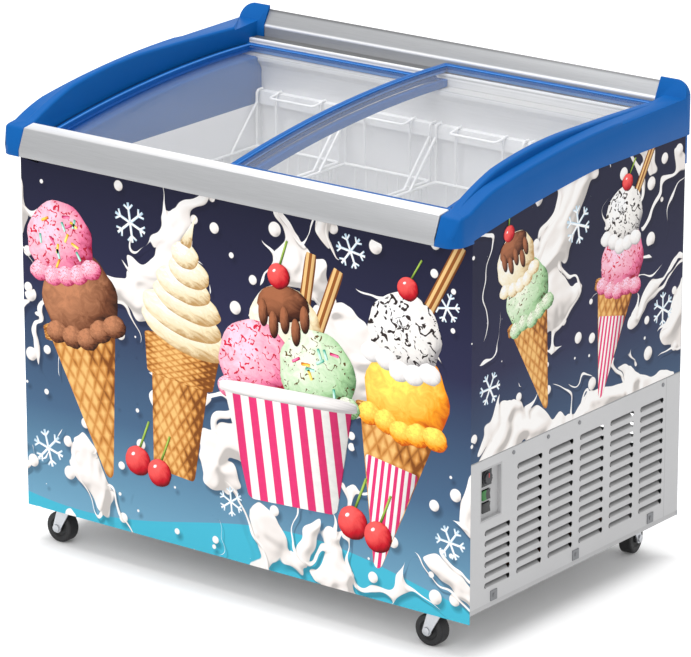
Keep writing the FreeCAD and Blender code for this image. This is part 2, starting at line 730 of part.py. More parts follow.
def make_basket(centre):
    """Wire basket: floor and wall nets, rim, corner hooks with braces, and an end handle each way."""
    pitch = 2 * tub_x / basket_count
    half = (pitch - basket_gap) / 2
    y0 = tub_front + basket_rail_depth + basket_clear
    y1 = tub_rear - basket_rail_depth - basket_clear
    rim_top = body_height - basket_drop
    low = step_z + basket_floor_gap
    net_low = low + net_wire
    net_top = rim_top - rim_wire
    x0 = centre - half
    x1 = centre + half
    long_count = round((y1 - y0) / net_pitch)
    cross_count = round(2 * half / net_pitch)
    floor_columns = round(2 * half / floor_pitch)
    floor_rows = round((y1 - y0) / floor_pitch)
    floor_holes = grid_holes(x0, x1, y0, y1, floor_columns, floor_rows, net_wire)
    solids = [prism_z(rectangle(x0, x1, y0, y1), low, net_low, floor_holes)]
    side_holes = grid_holes(y0, y1, net_low, net_top, long_count, net_rows, net_wire)
    for net_x, rim_x in ((x0, x0), (x1 - net_wire, x1 - rim_wire)):
        net = prism_x(rectangle(y0, y1, net_low, net_top), net_x, net_x + net_wire, side_holes)
        solids.append(join([net, box(rim_x, rim_x + rim_wire, y0, y1, net_top, rim_top)]))
    end_x0 = x0 + net_wire
    end_x1 = x1 - net_wire
    end_holes = grid_holes(end_x0, end_x1, net_low, net_top, cross_count, net_rows, net_wire)
    hook_low = body_height + basket_rail_height + fit
    hook_top = hook_low + hook_wire
    for end, way in ((y0, -1), (y1, 1)):
        net_y = sorted((end, end - way * net_wire))
        net = prism_y(rectangle(end_x0, end_x1, net_low, net_top), *net_y, end_holes)
        rim_y = sorted((end, end - way * rim_wire))
        solids.append(join([net, box(x0 + rim_wire, x1 - rim_wire, *rim_y, net_top, rim_top)]))
        post_y = sorted((end, end - way * hook_wire))
        tip_y = sorted((end, end + way * (basket_clear + hook_reach)))
        brace_end = end - way * brace_run
        brace = [(end - way * hook_wire, hook_low), (end, hook_low), (brace_end, rim_top),
                 (brace_end - way * hook_wire, rim_top)]
        for left in (x0, x1 - hook_wire):
            right = left + hook_wire
            post = box(left, right, *post_y, rim_top, hook_top)
            tip = box(left, right, *tip_y, hook_low, hook_top)
            solids.append(join([post, tip, prism_x(brace, left, right)]))
        posts = []
        for left in (centre - handle_width / 2, centre + handle_width / 2 - hook_wire):
            right = left + hook_wire
            posts.append(box(left, right, *post_y, rim_top, hook_top))
            posts.append(box(left, right, *tip_y, hook_low, hook_top))
        bar = box(centre - handle_width / 2, centre + handle_width / 2, *post_y, hook_low, hook_top)
        solids.append(join([bar] + posts))
    return Part.makeCompound(solids)


def make_baskets():
    """A row of baskets across the tub."""
    pitch = 2 * tub_x / basket_count
    return {"basket_%d" % (i + 1): make_basket(-tub_x + pitch * (i + 0.5)) for i in range(basket_count)}


def control_origin():
    """Lower front corner of the control plate."""
    return front_y + control_front, bay_top - control_drop - control_height


def make_grille():
    """Louvred side cover with its clips and screws."""
    plate_y, plate_z = control_origin()
    holes = [rectangle(plate_y - fit, plate_y + control_width + fit,
                       plate_z - fit, plate_z + control_height + fit)]
    lean = louvre_height - skin
    tabs = []
    first_z = grille_bottom + louvre_bottom
    for column in range(copies(cabinet_depth - louvre_front - louvre_rear, louvre_length, louvre_pitch_y)):
        y0 = front_y + louvre_front + column * louvre_pitch_y
        under_plate = y0 < plate_y + control_width
        last_z = plate_z - louvre_clear if under_plate else grille_top - louvre_top
        for row in range(copies(last_z - first_z, louvre_height, louvre_pitch_z)):
            z0 = first_z + row * louvre_pitch_z
            holes.append(slot(y0, y0 + louvre_length, z0, z0 + louvre_height))
            tab = [(half_width, z0), (half_width - louvre_depth, z0 + lean),
                   (inner_x - louvre_depth, z0 + lean), (inner_x, z0 - skin)]
            tabs.append(prism_y(tab, y0 + louvre_height / 2, y0 + louvre_length - louvre_height / 2))
    sheet = prism_x(rectangle(inner_front, inner_rear, grille_bottom, grille_top), inner_x, half_width, holes)
    fasteners = []
    for place in (*clip_places, cabinet_depth - clip_rear):
        y = front_y + place
        z = grille_bottom + clip_size / 2 + clip_sheet
        half = clip_size / 2
        clip = box(half_width, half_width + clip_sheet, y - half, y + half, z - half, z + half)
        head = cylinder(screw_radius, (half_width + clip_sheet, y, z), (1, 0, 0), screw_head)
        fasteners.append(join([clip, head]))
    for place in (*screw_places, cabinet_depth - screw_rear):
        start = (half_width, front_y + place, grille_top - screw_inset)
        fasteners.append(cylinder(screw_radius, start, (1, 0, 0), screw_head))
    return {"side_grille": join([sheet] + tabs), "grille_fasteners": Part.makeCompound(fasteners)}


def make_controls():
    """Control plate set into the grille, thermostat with dial, and two rocker switches."""
    plate_y, plate_z = control_origin()
    back_x = half_width - control_depth
    face_x = back_x + control_wall
    plate = box(back_x, half_width, plate_y, plate_y + control_width, plate_z, plate_z + control_height)
    wall = control_wall
    plate = plate.cut(box(face_x, half_width, plate_y + wall, plate_y + control_width - wall, plate_z + wall,
                          plate_z + control_height - wall))
    dial_y = plate_y + dial_place[0]
    dial_z = plate_z + dial_place[1]
    plate = plate.cut(cylinder(dial_shaft + fit, (back_x, dial_y, dial_z), (1, 0, 0), wall))
    dial = join([cylinder(dial_radius, (face_x + fit, dial_y, dial_z), (1, 0, 0), dial_height),
                 cylinder(dial_shaft, (back_x - wall, dial_y, dial_z), (1, 0, 0), 2 * wall + fit)])
    half = thermostat_size / 2
    thermostat = box(back_x - thermostat_size, back_x, dial_y - half, dial_y + half,
                     dial_z - half, dial_z + half)
    shaft_hole = cylinder(dial_shaft + fit, (back_x - 2 * wall, dial_y, dial_z), (1, 0, 0), 2 * wall)
    parts = {"thermostat_dial": dial, "thermostat": thermostat.cut(shaft_hole)}
    bodies = []
    for name, place in zip(("power_switch", "auxiliary_switch"), switch_places):
        y = plate_y + place[0]
        z = plate_z + place[1]
        half_y = rocker_width / 2
        half_z = rocker_height / 2
        inner_edge = face_x + rocker_proud - rocker_depth
        rocker_steps = [(inner_edge, z - half_z / 2), (face_x + rocker_proud, z - half_z),
                        (face_x + rocker_proud / 2, z), (face_x + rocker_proud, z + half_z),
                        (inner_edge, z + half_z / 2)]
        rocker = prism_y(rocker_steps, y - half_y, y + half_y)
        axis_x = back_x - rocker_pin
        pin_reach = rocker_clear + switch_wall / 2
        pin_length = rocker_width + 2 * pin_reach
        pin = cylinder(rocker_pin, (axis_x, y - half_y - pin_reach, z), (0, 1, 0), pin_length)
        parts[name] = join([rocker, pin])
        space_y = half_y + rocker_clear
        space_z = half_z + rocker_clear
        space = (y - space_y, y + space_y, z - space_z, z + space_z)
        plate = plate.cut(box(back_x, face_x, *space))
        body = box(back_x - switch_depth, back_x, y - space_y - switch_wall, y + space_y + switch_wall,
                   z - space_z - switch_wall / 2, z + space_z + switch_wall / 2)
        pin_start = (axis_x, y - half_y - pin_reach - fit, z)
        pin_hole = cylinder(rocker_pin + fit, pin_start, (0, 1, 0), pin_length + 2 * fit)
        bodies.append(body.cut(box(back_x - rocker_depth, back_x, *space)).cut(pin_hole))
    parts["control_plate"] = plate
    parts["switch_bodies"] = Part.makeCompound(bodies)
    return parts


def make_caster(name, x, y, heading):
    """Swivel caster with its wheel trailing along the heading, in degrees from +X."""
    radius = wheel_diameter / 2
    plate_low = base_height - caster_plate_thick
    half = caster_plate / 2
    plate = box(-half, half, -half, half, plate_low, base_height)
    plate = plate.cut(cylinder(pivot_radius + fit, (0, 0, plate_low), (0, 0, 1), caster_plate_thick))
    head_top = plate_low - fit
    head_low = head_top - fork_head_thick
    leg_in = wheel_width / 2 + fork_gap
    leg_out = leg_in + fork_leg
    leg = [(-fork_heel, head_low), (caster_trail - fork_eye, radius),
           (caster_trail, radius - fork_eye, caster_trail + fork_eye, radius), (fork_head, head_low),
           (fork_head, head_top), (-fork_heel, head_top)]
    axle_half = leg_out + axle_head_thick
    pieces = [cylinder(fork_head, (0, 0, head_low), (0, 0, 1), fork_head_thick),
              cylinder(pivot_radius, (0, 0, head_low), (0, 0, 1), fork_head_thick + caster_plate_thick),
              prism_y(leg, leg_in, leg_out), prism_y(leg, -leg_out, -leg_in),
              cylinder(axle_radius, (caster_trail, -axle_half, radius), (0, 1, 0), 2 * axle_half),
              cylinder(axle_head, (caster_trail, -axle_half, radius), (0, 1, 0), axle_head_thick),
              cylinder(axle_head, (caster_trail, leg_out, radius), (0, 1, 0), axle_head_thick)]
    side = wheel_width / 2
    bore = axle_radius + fit
    round_off = wheel_shoulder * (1 - math.sqrt(0.5))
    tread = radius - wheel_shoulder
    dish = hub_radius + hub_recess
    section = [(bore, -side), (hub_neck, -side), (hub_neck + hub_slope, hub_recess - side),
               (hub_radius, hub_recess - side), (dish, -side), (tread, -side),
               (radius - round_off, round_off - side, radius, wheel_shoulder - side),
               (radius, side - wheel_shoulder), (radius - round_off, side - round_off, tread, side),
               (dish, side), (hub_radius, side - hub_recess), (hub_neck + hub_slope, side - hub_recess),
               (hub_neck, side), (bore, side)]
    wire = outline(section, lambda r, a: FreeCAD.Vector(caster_trail + r, a, radius))
    wheel = Part.Face(wire).revolve(FreeCAD.Vector(caster_trail, 0, radius), FreeCAD.Vector(0, 1, 0), 360)
    parts = {"_caster_plate": plate, "_caster_fork": join(pieces), "_caster_wheel": wheel}
    placed = {}
    for suffix, shape in parts.items():
        shape.rotate(FreeCAD.Vector(0, 0, 0), FreeCAD.Vector(0, 0, 1), heading)
        shape.translate(FreeCAD.Vector(x, y, 0))
        placed[name + suffix] = shape
    return placed


def make_casters():
    """Front casters trail to the left and rear casters trail backwards."""
    side = half_width - caster_inset_x
    front = front_y + caster_inset_front
    rear = rear_y - caster_inset_rear
    parts = make_caster("front_left", -side, front, front_heading)
    parts.update(make_caster("front_right", side, front, front_heading))
    parts.update(make_caster("rear_left", -side, rear, rear_heading))
    parts.update(make_caster("rear_right", side, rear, rear_heading))
    return parts


def compressor_port():
    """Top of the stub on the compressor's axis."""
    return inner_x - compressor_x, rear_y - compressor_setback, bay_top - compressor_head


def make_compressor():
    """Compressor on rubber feet, with its terminal box."""
    x, y, port_z = compressor_port()
    foot_top = base_top + foot_height
    low = foot_top + foot_plate
    straight_low = low + compressor_dome
    top = port_z - port_rise
    straight_top = top - compressor_dome
    radius = compressor_radius
    bulge = radius * math.sqrt(0.5)
    dome = compressor_dome * math.sqrt(0.5)
    profile = [(0, low), (bulge, straight_low - dome, radius, straight_low), (radius, straight_top),
               (bulge, straight_top + dome, 0, top)]
    wire = outline(profile, lambda r, z: FreeCAD.Vector(x + r, y, z))
    body = Part.Face(wire).revolve(FreeCAD.Vector(x, y, 0), FreeCAD.Vector(0, 0, 1), 360)
    spread = foot_spread + foot_radius
    plate = box(x - spread, x + spread, y - spread, y + spread, foot_top, low)
    stubs = [cylinder(foot_radius, (x, y, foot_top), (0, 0, 1), foot_plate + compressor_dome)]
    for port_y in (y, y - port_spread):
        stubs.append(cylinder(port_radius, (x, port_y, straight_top), (0, 0, 1), port_z - straight_top))
    feet = []
    for side_x in (-foot_spread, foot_spread):
        for side_y in (-foot_spread, foot_spread):
            feet.append(cylinder(foot_radius, (x + side_x, y + side_y, base_top), (0, 0, 1), foot_height))
    wide, deep, tall = terminal_size
    box_y = y - radius - fit
    box_z = straight_low
    terminal = box(x - wide / 2, x + wide / 2, box_y - deep, box_y, box_z, box_z + tall)
    return {"compressor": join([body, plate] + stubs), "compressor_feet": Part.makeCompound(feet),
            "terminal_box": terminal}


def condenser_place():
    """Lower, front, left corner of the condenser, then its width, depth and height."""
    left = bay_x + bay_sheet + condenser_gap
    low = base_top + condenser_lift
    size = (inner_x - condenser_side - left, condenser_depth, bay_top - condenser_head - low)
    return left, front_y + condenser_front, low, *size


def make_condenser():
    """Finned condenser standing on two feet."""
    x, y, z, wide, deep, tall = condenser_place()
    step = (wide - fin_sheet) / (fin_count - 1)
    pieces = [box(x + i * step, x + i * step + fin_sheet, y, y + deep, z, z + tall) for i in range(fin_count)]
    for row in range(condenser_rows):
        height = z + tall * (row + 0.5) / condenser_rows
        pieces.append(cylinder(condenser_pipe, (x, y + deep / 2, height), (1, 0, 0), wide))
    for left in (x, x + wide - 2 * step):
        pieces.append(box(left, left + 2 * step, y, y + deep, base_top, z + fin_sheet))
    return {"condenser": join(pieces)}


def make_fan():
    """Shroud behind the condenser, with motor arms, motor and blade."""
    left, front, low, wide, deep, tall = condenser_place()
    x = left + wide / 2
    z = low + tall / 2
    y = front + deep
    fan_radius = wide / 2 - fan_margin
    ring_radius = fan_radius + fan_tip_gap
    plate = box(left, left + wide, y, y + shroud_sheet, low, low + tall)
    ring = cylinder(ring_radius + shroud_sheet, (x, y, z), (0, 1, 0), shroud_ring)
    arm_y = y + shroud_ring - arm_sheet
    bore = cylinder(ring_radius, (x, y, z), (0, 1, 0), shroud_ring)
    arm_reach = ring_radius + shroud_sheet / 2
    arm_half = arm_width / 2
    arm_span = (arm_y, arm_y + arm_sheet)
    arms = [box(x - arm_reach, x + arm_reach, *arm_span, z - arm_half, z + arm_half),
            box(x - arm_half, x + arm_half, *arm_span, z - arm_reach, z + arm_reach)]
    shaft_hole = cylinder(shaft_radius + fit, (x, arm_y, z), (0, 1, 0), arm_sheet)
    shroud = join([join([plate, ring]).cut(bore)] + arms).cut(shaft_hole)
    motor_y = arm_y + arm_sheet
    hub_y = arm_y - fan_gap - fan_depth
    motor = join([cylinder(motor_radius, (x, motor_y, z), (0, 1, 0), motor_length),
                  cylinder(shaft_radius, (x, hub_y, z), (0, 1, 0), motor_y - hub_y)])
    pieces = [cylinder(fan_hub, (x, hub_y, z), (0, 1, 0), fan_depth)]
    chord = fan_depth - blade_sheet
    for i in range(blade_count):
        blade = box(-chord, chord, -blade_sheet / 2, blade_sheet / 2, fan_hub / 2, fan_radius)
        blade.rotate(FreeCAD.Vector(0, 0, 0), FreeCAD.Vector(0, 0, 1), blade_pitch)
        blade.translate(FreeCAD.Vector(0, hub_y + fan_depth / 2, 0))
        blade.rotate(FreeCAD.Vector(0, 0, 0), FreeCAD.Vector(0, 1, 0), i * 360 / blade_count)
        blade.translate(FreeCAD.Vector(x, 0, z))
        pieces.append(blade)
    rotor = join(pieces).cut(cylinder(shaft_radius + fit, (x, hub_y, z), (0, 1, 0), fan_depth))
    return {"fan_shroud": shroud, "fan_motor": motor, "fan_blade": rotor}


def make_pipes():
    """Filter drier and the pipes between compressor, condenser and evaporator."""
    points = evaporator_points()
    low_tail = points[0]
    high_tail = points[-1]
    x, y, port_z = compressor_port()
    left, front, low, wide, deep, tall = condenser_place()
    upper_row = low + tall * (condenser_rows - 0.5) / condenser_rows
    lower_row = low + tall * 0.5 / condenser_rows
    mid_y = front + deep / 2
    right = left + wide
    lane = right + pipe_lane
    ceiling = bay_top - bay_sheet
    cross_z = ceiling - pipe_drop
    drier_end = y - compressor_radius - terminal_size[1]
    drier_y = drier_end - drier_length
    discharge = [(right, mid_y, upper_row), (lane, mid_y, upper_row), (lane, mid_y, cross_z),
                 (lane, y, cross_z), (x, y, cross_z), (x, y, port_z)]
    liquid = [(right, mid_y, lower_row), (lane, mid_y, lower_row), (lane, drier_y, lower_row)]
    capillary = [(lane, drier_end, lower_row), (lane, low_tail[1], lower_row), (lane, low_tail[1], cross_z),
                 (low_tail[0], low_tail[1], cross_z), low_tail]
    suction = [high_tail, (high_tail[0], high_tail[1], cross_z), (x, y - port_spread, cross_z),
               (x, y - port_spread, port_z)]
    pipes = [tube(route, pipe_radius, pipe_bend) for route in (discharge, liquid, capillary, suction)]
    drier = cylinder(drier_radius, (lane, drier_y, lower_row), (0, 1, 0), drier_length)
    return {"refrigerant_pipes": Part.makeCompound(pipes), "filter_drier": drier}


def make_fittings():
    """Drain through the floor with its plug, and the cord gland in the rear panel."""
    tube_low = base_height - drain_proud
    flange_top = tub_floor + drain_wall
    bore = drain_radius - drain_wall
    drain = join([cylinder(drain_radius, (drain_x, 0, tube_low), (0, 0, 1), flange_top - tube_low),
                  cylinder(drain_flange, (drain_x, 0, tub_floor), (0, 0, 1), drain_wall)])
    drain = drain.cut(cylinder(bore, (drain_x, 0, tube_low), (0, 0, 1), flange_top - tube_low))
    plug = join([cylinder(bore - fit, (drain_x, 0, flange_top - plug_length), (0, 0, 1), plug_length),
                 cylinder(drain_flange - drain_wall, (drain_x, 0, flange_top), (0, 0, 1), plug_head)])
    x = inner_x - gland_inset
    z = base_top + gland_height
    nut = gland_radius + gland_wall
    inside = inner_rear - gland_inside
    length = rear_y + gland_proud - inside
    gland = join([cylinder(gland_radius, (x, inside, z), (0, 1, 0), length),
                  cylinder(nut, (x, rear_y, z), (0, 1, 0), gland_proud),
                  cylinder(nut, (x, inner_rear - gland_proud, z), (0, 1, 0), gland_proud)])
    way = cylinder(gland_radius - gland_wall, (x, inside, z), (0, 1, 0), length)
    return {"drain_tube": drain, "drain_plug": plug, "cord_gland": gland.cut(way)}


def main():
    """Build every sub-part and write it out."""
    os.makedirs("parts", exist_ok=True)
    parts = {"inner_liner": make_liner()}
    for maker in (make_panels, make_insulation, make_rails, make_end_caps, make_lids, make_baskets,
                  make_grille, make_controls, make_casters, make_compressor, make_condenser, make_fan,
                  make_pipes, make_fittings):
        parts.update(maker())
    for name, shape in parts.items():
        shape.exportStep("parts/%s.step" % name)
    print(len(parts), "parts")


main()
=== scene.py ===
"""Ice cream freezer: finishes, printed panels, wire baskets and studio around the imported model.

Metres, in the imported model's frame: +X to the right, +Y to the rear, +Z up.
"""
import json
import math
import random

import bmesh
import bpy
from mathutils import Matrix, Vector, geometry, noise

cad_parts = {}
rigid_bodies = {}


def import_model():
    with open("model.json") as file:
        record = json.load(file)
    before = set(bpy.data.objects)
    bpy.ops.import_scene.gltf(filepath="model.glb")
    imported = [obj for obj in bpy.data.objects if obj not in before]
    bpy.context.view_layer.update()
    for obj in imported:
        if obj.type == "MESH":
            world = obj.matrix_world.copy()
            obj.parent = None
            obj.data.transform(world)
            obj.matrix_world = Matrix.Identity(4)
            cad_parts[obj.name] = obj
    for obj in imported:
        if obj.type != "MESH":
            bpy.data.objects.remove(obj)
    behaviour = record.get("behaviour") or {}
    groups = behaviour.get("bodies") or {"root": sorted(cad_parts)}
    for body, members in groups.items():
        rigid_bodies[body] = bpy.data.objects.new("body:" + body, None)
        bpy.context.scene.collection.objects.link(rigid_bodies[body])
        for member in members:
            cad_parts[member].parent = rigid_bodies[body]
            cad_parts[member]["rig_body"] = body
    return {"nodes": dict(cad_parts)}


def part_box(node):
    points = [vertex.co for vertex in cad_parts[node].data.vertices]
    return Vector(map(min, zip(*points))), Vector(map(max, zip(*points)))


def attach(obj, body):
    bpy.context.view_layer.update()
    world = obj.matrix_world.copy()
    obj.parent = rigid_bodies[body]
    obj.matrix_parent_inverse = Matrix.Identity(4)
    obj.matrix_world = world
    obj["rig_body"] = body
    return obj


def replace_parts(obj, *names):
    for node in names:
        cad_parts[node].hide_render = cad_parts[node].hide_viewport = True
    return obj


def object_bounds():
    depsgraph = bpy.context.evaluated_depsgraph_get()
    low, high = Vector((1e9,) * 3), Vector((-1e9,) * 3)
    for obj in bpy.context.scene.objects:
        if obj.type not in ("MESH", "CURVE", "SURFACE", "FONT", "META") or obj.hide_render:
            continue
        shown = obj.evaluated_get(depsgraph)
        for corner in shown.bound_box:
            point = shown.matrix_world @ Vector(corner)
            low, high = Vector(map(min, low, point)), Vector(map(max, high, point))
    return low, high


bl_info = {
    "name": "Ice cream freezer",
    "version": (1, 0, 0),
    "blender": (4, 5, 0),
    "location": "3D View > Sidebar > Freezer",
    "description": "Finishes, printed panels, wire baskets and studio of a chest freezer with sliding lids",
    "category": "Object",
}

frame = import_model()
CAD_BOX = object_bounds()
CORNERS = ("front_left", "front_right", "rear_left", "rear_right")
MERGE = 2e-6  # points nearer than this are one
FLAT = math.radians(0.5)  # faces that meet at less than this are one
SHARP = math.radians(30)  # edges that bend by more than this are rounded
SMOOTH = math.radians(38)  # faces that meet at less than this are shaded as one
FINE_EDGE = 0.0003  # rounding of the small mouldings
# Turns a flat shape to face +X
FACING_RIGHT = Matrix(((0.0, 0.0, 1.0), (1.0, 0.0, 0.0), (0.0, 1.0, 0.0))).to_4x4()


def srgb(*levels):
    """Linear colour from sRGB levels of 0 to 255."""
    return tuple(((level / 255 + 0.055) / 1.055) ** 2.4 for level in levels)


def tint(name, description, *levels):
    """Colour property with an sRGB default."""
    return bpy.props.FloatVectorProperty(
        name=name, description=description, default=srgb(*levels), subtype="COLOR", size=3, min=0.0, max=1.0)


def number(name, description, default, **more):
    """Number property."""
    return bpy.props.FloatProperty(name=name, description=description, default=default, **more)


def length(name, description, default):
    """Length property in metres."""
    return number(name, description, default, min=0.0, unit="LENGTH", subtype="DISTANCE")


class FreezerColours(bpy.types.PropertyGroup):
    """Colours of the finishes."""
    cap_blue: tint("Blue plastic", "Moulded end caps and lid bars", 8, 90, 163)
    aluminium: tint("Aluminium", "Front and rear rails", 180, 181, 183)
    grille_grey: tint("Grille grey", "Powder coat of the side grille", 196, 196, 197)
    liner_white: tint("Liner white", "Inside of the tub", 249, 249, 250)
    wire_white: tint("Wire white", "Coated wire of the baskets", 250, 250, 250)
    sheet_zinc: tint("Sheet zinc", "Galvanised sheet at the back and underneath", 172, 176, 180)
    bright_zinc: tint("Bright zinc", "Plated forks, clips and screws", 190, 192, 196)
    glass_haze: tint("Glass haze", "Veil of the lid glass", 220, 223, 226)
    # Painted shade: blue laid along the left edge of the lid glass.
    glass_edge_shade: tint("Glass border", "Tint along the edges of the lid glass", 30, 84, 164)
    # Painted light: a lighter blue for the inner faces of the lid bars, which lie in shade.
    lid_inner_lit: tint("Lid inner blue", "Inner faces of the lid bars", 92, 152, 224)
    # Painted shade: dark line along the outer edge of a lid, where the gap at the cap wall lies in shade.
    groove_shade_blue: tint("Wiper blue", "Seal along the outer edge of a lid", 14, 44, 86)
    black: tint("Black", "Plastic, rubber and paint", 26, 26, 28)
    lamp_green: tint("Lamp green", "Lit power switch", 10, 112, 30)
    copper: tint("Copper", "Pipes", 142, 92, 68)
    foam: tint("Foam", "Insulation", 222, 200, 140)
    night: tint("Night blue", "Top of the printed ground", 33, 34, 58)
    slate: tint("Slate blue", "Middle of the printed ground", 74, 104, 135)
    sky: tint("Sky blue", "Lower part of the printed ground", 118, 170, 198)
    teal: tint("Teal", "Wave along the foot of the print", 72, 184, 210)
    cream: tint("Cream", "Printed splashes", 238, 231, 226)


class FreezerSizes(bpy.types.PropertyGroup):
    """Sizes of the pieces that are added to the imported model."""
    cap_round: length("Cap rounding", "Radius on the top edges of the end caps", 0.005)
    bar_round: length("Bar rounding", "Radius on the edges of rails and lid bars", 0.0015)
    rail_crown: length("Rail crown", "Aluminium from the nose of the front rail to its lip", 0.0385)
    rail_lining: length("Rail lining", "White face at the front of the rear rail", 0.0305)
    net_wire: length("Net wire", "Diameter of the basket net", 0.003)
    rim_wire: length("Rim wire", "Diameter of the basket rim", 0.006)
    hook_wire: length("Hook wire", "Diameter of hooks, braces and handles", 0.005)
    net_pitch: length("Net pitch", "Spacing of the basket net", 0.025)
    rim_drop: length("Rim drop", "Top of the hooks to the top of the basket rim", 0.1033)
    hook_reach: length("Hook reach", "Hook past the end of the basket", 0.014)
    brace_run: length("Brace run", "Foot of the brace from the end of the basket", 0.075)
    brace_drop: length("Brace drop", "Top of the hooks to the top of the brace", 0.025)
    handle_width: length("Handle width", "Over the two posts of a basket handle", 0.105)
    grip_reach: length("Grip reach", "Handle from the end of the basket inwards", 0.02)
    lid_radius: length("Lid radius", "Top of the upper lid's bars", 2.7)
    lid_step: length("Lid step", "Upper lid above the lower one", 0.022)
    lid_peak: length("Lid peak", "Highest line of the lids, from the middle to the rear", 0.242)
    glass_sheet: length("Glass", "Thickness of the lid glass", 0.005)
    glass_drop: length("Glass drop", "Glass below the top of the bars", 0.002)
    glass_bite: length("Glass bite", "Glass let into the bars", 0.008)
    bar_trim: length("Bar trim", "Taken off one side of each lid bar", 0.009)
    gasket_width: length("Gasket width", "Glazing gasket over the edge of the glass", 0.003)
    # Width over which the painted blue shade on the glass fades out.
    edge_shade_fade: length("Border fade", "Width over which the tint of the glass fades out", 0.042)
    # Width of the painted shade line along the outer edge of a lid.
    groove_shade_width: length("Wiper width", "Seal along the outer edge of a lid", 0.005)
    hump_depth: length("Hump depth", "Rear hump of an end cap, front to back", 0.0195)
    glass_veil: number("Glass veil", "Share of light that each face of the glass holds back", 0.09, min=0.0,
                       max=1.0, subtype="FACTOR")


class FreezerStudio(bpy.types.PropertyGroup):
    """Camera and light."""
    distance: length("Distance", "Camera to the middle of the frame", 7.735)
    azimuth: number("Azimuth", "Camera to the right of the front", math.radians(37.48), subtype="ANGLE")
    elevation: number("Elevation", "Camera above the level", math.radians(17.65), subtype="ANGLE")
    target: bpy.props.FloatVectorProperty(
        name="Target", description="Middle of the frame", default=(-0.0732, 0.1023, 0.3701), subtype="XYZ",
        unit="LENGTH")
    lens: number("Lens", "Focal length in millimetres", 229.45, min=1.0)
    sky_light: number("Sky light", "Strength of the even light", 0.8, min=0.0)
    key_light: number("Key light", "Power of the soft overhead lamp in watts", 96.0, min=0.0)
    fill_light: number("Fill light", "Power of the soft lamp in front in watts", 46.0, min=0.0)


# Finishes

class Signal:
    """Output of a shader node, which plain sums can be written with."""

    def __init__(self, socket):
        self.socket = socket
        self.tree = socket.id_data

    def other(self, output):
        """Another output of the same node."""
        return Signal(self.socket.node.outputs[output])

    def parts(self):
        """The three parts of a vector or a colour."""
        first = add(self.tree, "SeparateXYZ", {0: self})
        return first, first.other(1), first.other(2)

    def maths(self, operation, *others):
        """Result of a maths node."""
        return add(self.tree, "Math", dict(enumerate((self, *others))), operation=operation)

    def __add__(self, other):
        return self.maths("ADD", other)

    def __sub__(self, other):
        return self.maths("SUBTRACT", other)

    def __rsub__(self, other):
        return self.maths("MULTIPLY_ADD", -1.0, other)

    def __mul__(self, other):
        return self.maths("MULTIPLY", other)

    def __abs__(self):
        return self.maths("ABSOLUTE")

    def vector(self, operation, *others):
        """Result of a vector maths node."""
        return add(self.tree, "VectorMath", dict(enumerate((self, *others))), operation=operation)

    def scaled(self, factor):
        """Colour made lighter or darker by another signal."""
        return add(self.tree, "VectorMath", {0: self, "Scale": factor}, operation="SCALE")

    def stretched(self, scale):
        """Coordinates scaled along each axis."""
        return add(self.tree, "Mapping", {"Vector": self, "Scale": scale})

    def noise(self, scale, detail, dimensions="3D", output=0, roughness=0.5, distortion=0.0):
        """Clouds over these coordinates."""
        inputs = {"Vector": self, "Scale": scale, "Detail": detail, "Roughness": roughness,
                  "Distortion": distortion}
        return add(self.tree, "TexNoise", inputs, output, noise_dimensions=dimensions)

    def fit(self, low, high, to_low=0.0, to_high=1.0, way="LINEAR"):
        """Value moved from one range to another."""
        inputs = {"Value": self, "From Min": low, "From Max": high, "To Min": to_low, "To Max": to_high}
        return add(self.tree, "MapRange", inputs, interpolation_type=way)

    def mix(self, first, second):
        """Blend of two colours, with this as the share of the second."""
        return add(self.tree, "Mix", {0: self, 6: rgba(first), 7: rgba(second)}, 2, data_type="RGBA")

    def ramp(self, *stops):
        """Colour ramp through (place, colour) stops."""
        colour = add(self.tree, "ValToRGB", {0: self})
        elements = colour.socket.node.color_ramp.elements
        while len(elements) < len(stops):
            elements.new(1.0)
        for element, (place, stop) in zip(elements, stops):
            element.position = place
            element.color = rgba(stop)
        return colour


def add(tree, kind, inputs, output=0, **settings):
    """Output of a new shader node, whose inputs are signals or plain values."""
    node = tree.nodes.new("ShaderNode" + kind)
    for key, value in settings.items():
        setattr(node, key, value)
    for key, value in inputs.items():
        if isinstance(value, Signal):
            tree.links.new(value.socket, node.inputs[key])
        else:
            node.inputs[key].default_value = value
    return Signal(node.outputs[output])


def rgba(colour):
    """Colour with its fourth number; a signal stays as it is."""
    return colour if isinstance(colour, Signal) else (*colour[:3], 1.0)


def shade(colour, factor):
    """Colour made lighter or darker."""
    return tuple(min(1.0, part * factor) for part in colour[:3])


class Look:
    """Material on the object's own coordinates, with its parts at hand for more work."""

    def __init__(self, name, roughness, metallic=0.0, gloss=0.5):
        self.material = bpy.data.materials.new(name)
        self.material.use_nodes = True
        self.tree = self.material.node_tree
        self.inputs = self.tree.nodes["Principled BSDF"].inputs
        self.inputs["Roughness"].default_value = roughness
        self.inputs["Metallic"].default_value = metallic
        self.inputs["Specular IOR Level"].default_value = gloss
        self.place = add(self.tree, "TexCoord", {}, "Object")
        self.colour = None
        self.fine = None

    def drive(self, socket, signal):
        """Feed one of the shader's sockets."""
        self.tree.links.new(signal.socket, self.inputs[socket])

    def paint(self, colour):
        """Feed the base colour, and give the look back."""
        self.colour = colour
        self.drive("Base Color", colour)
        return self


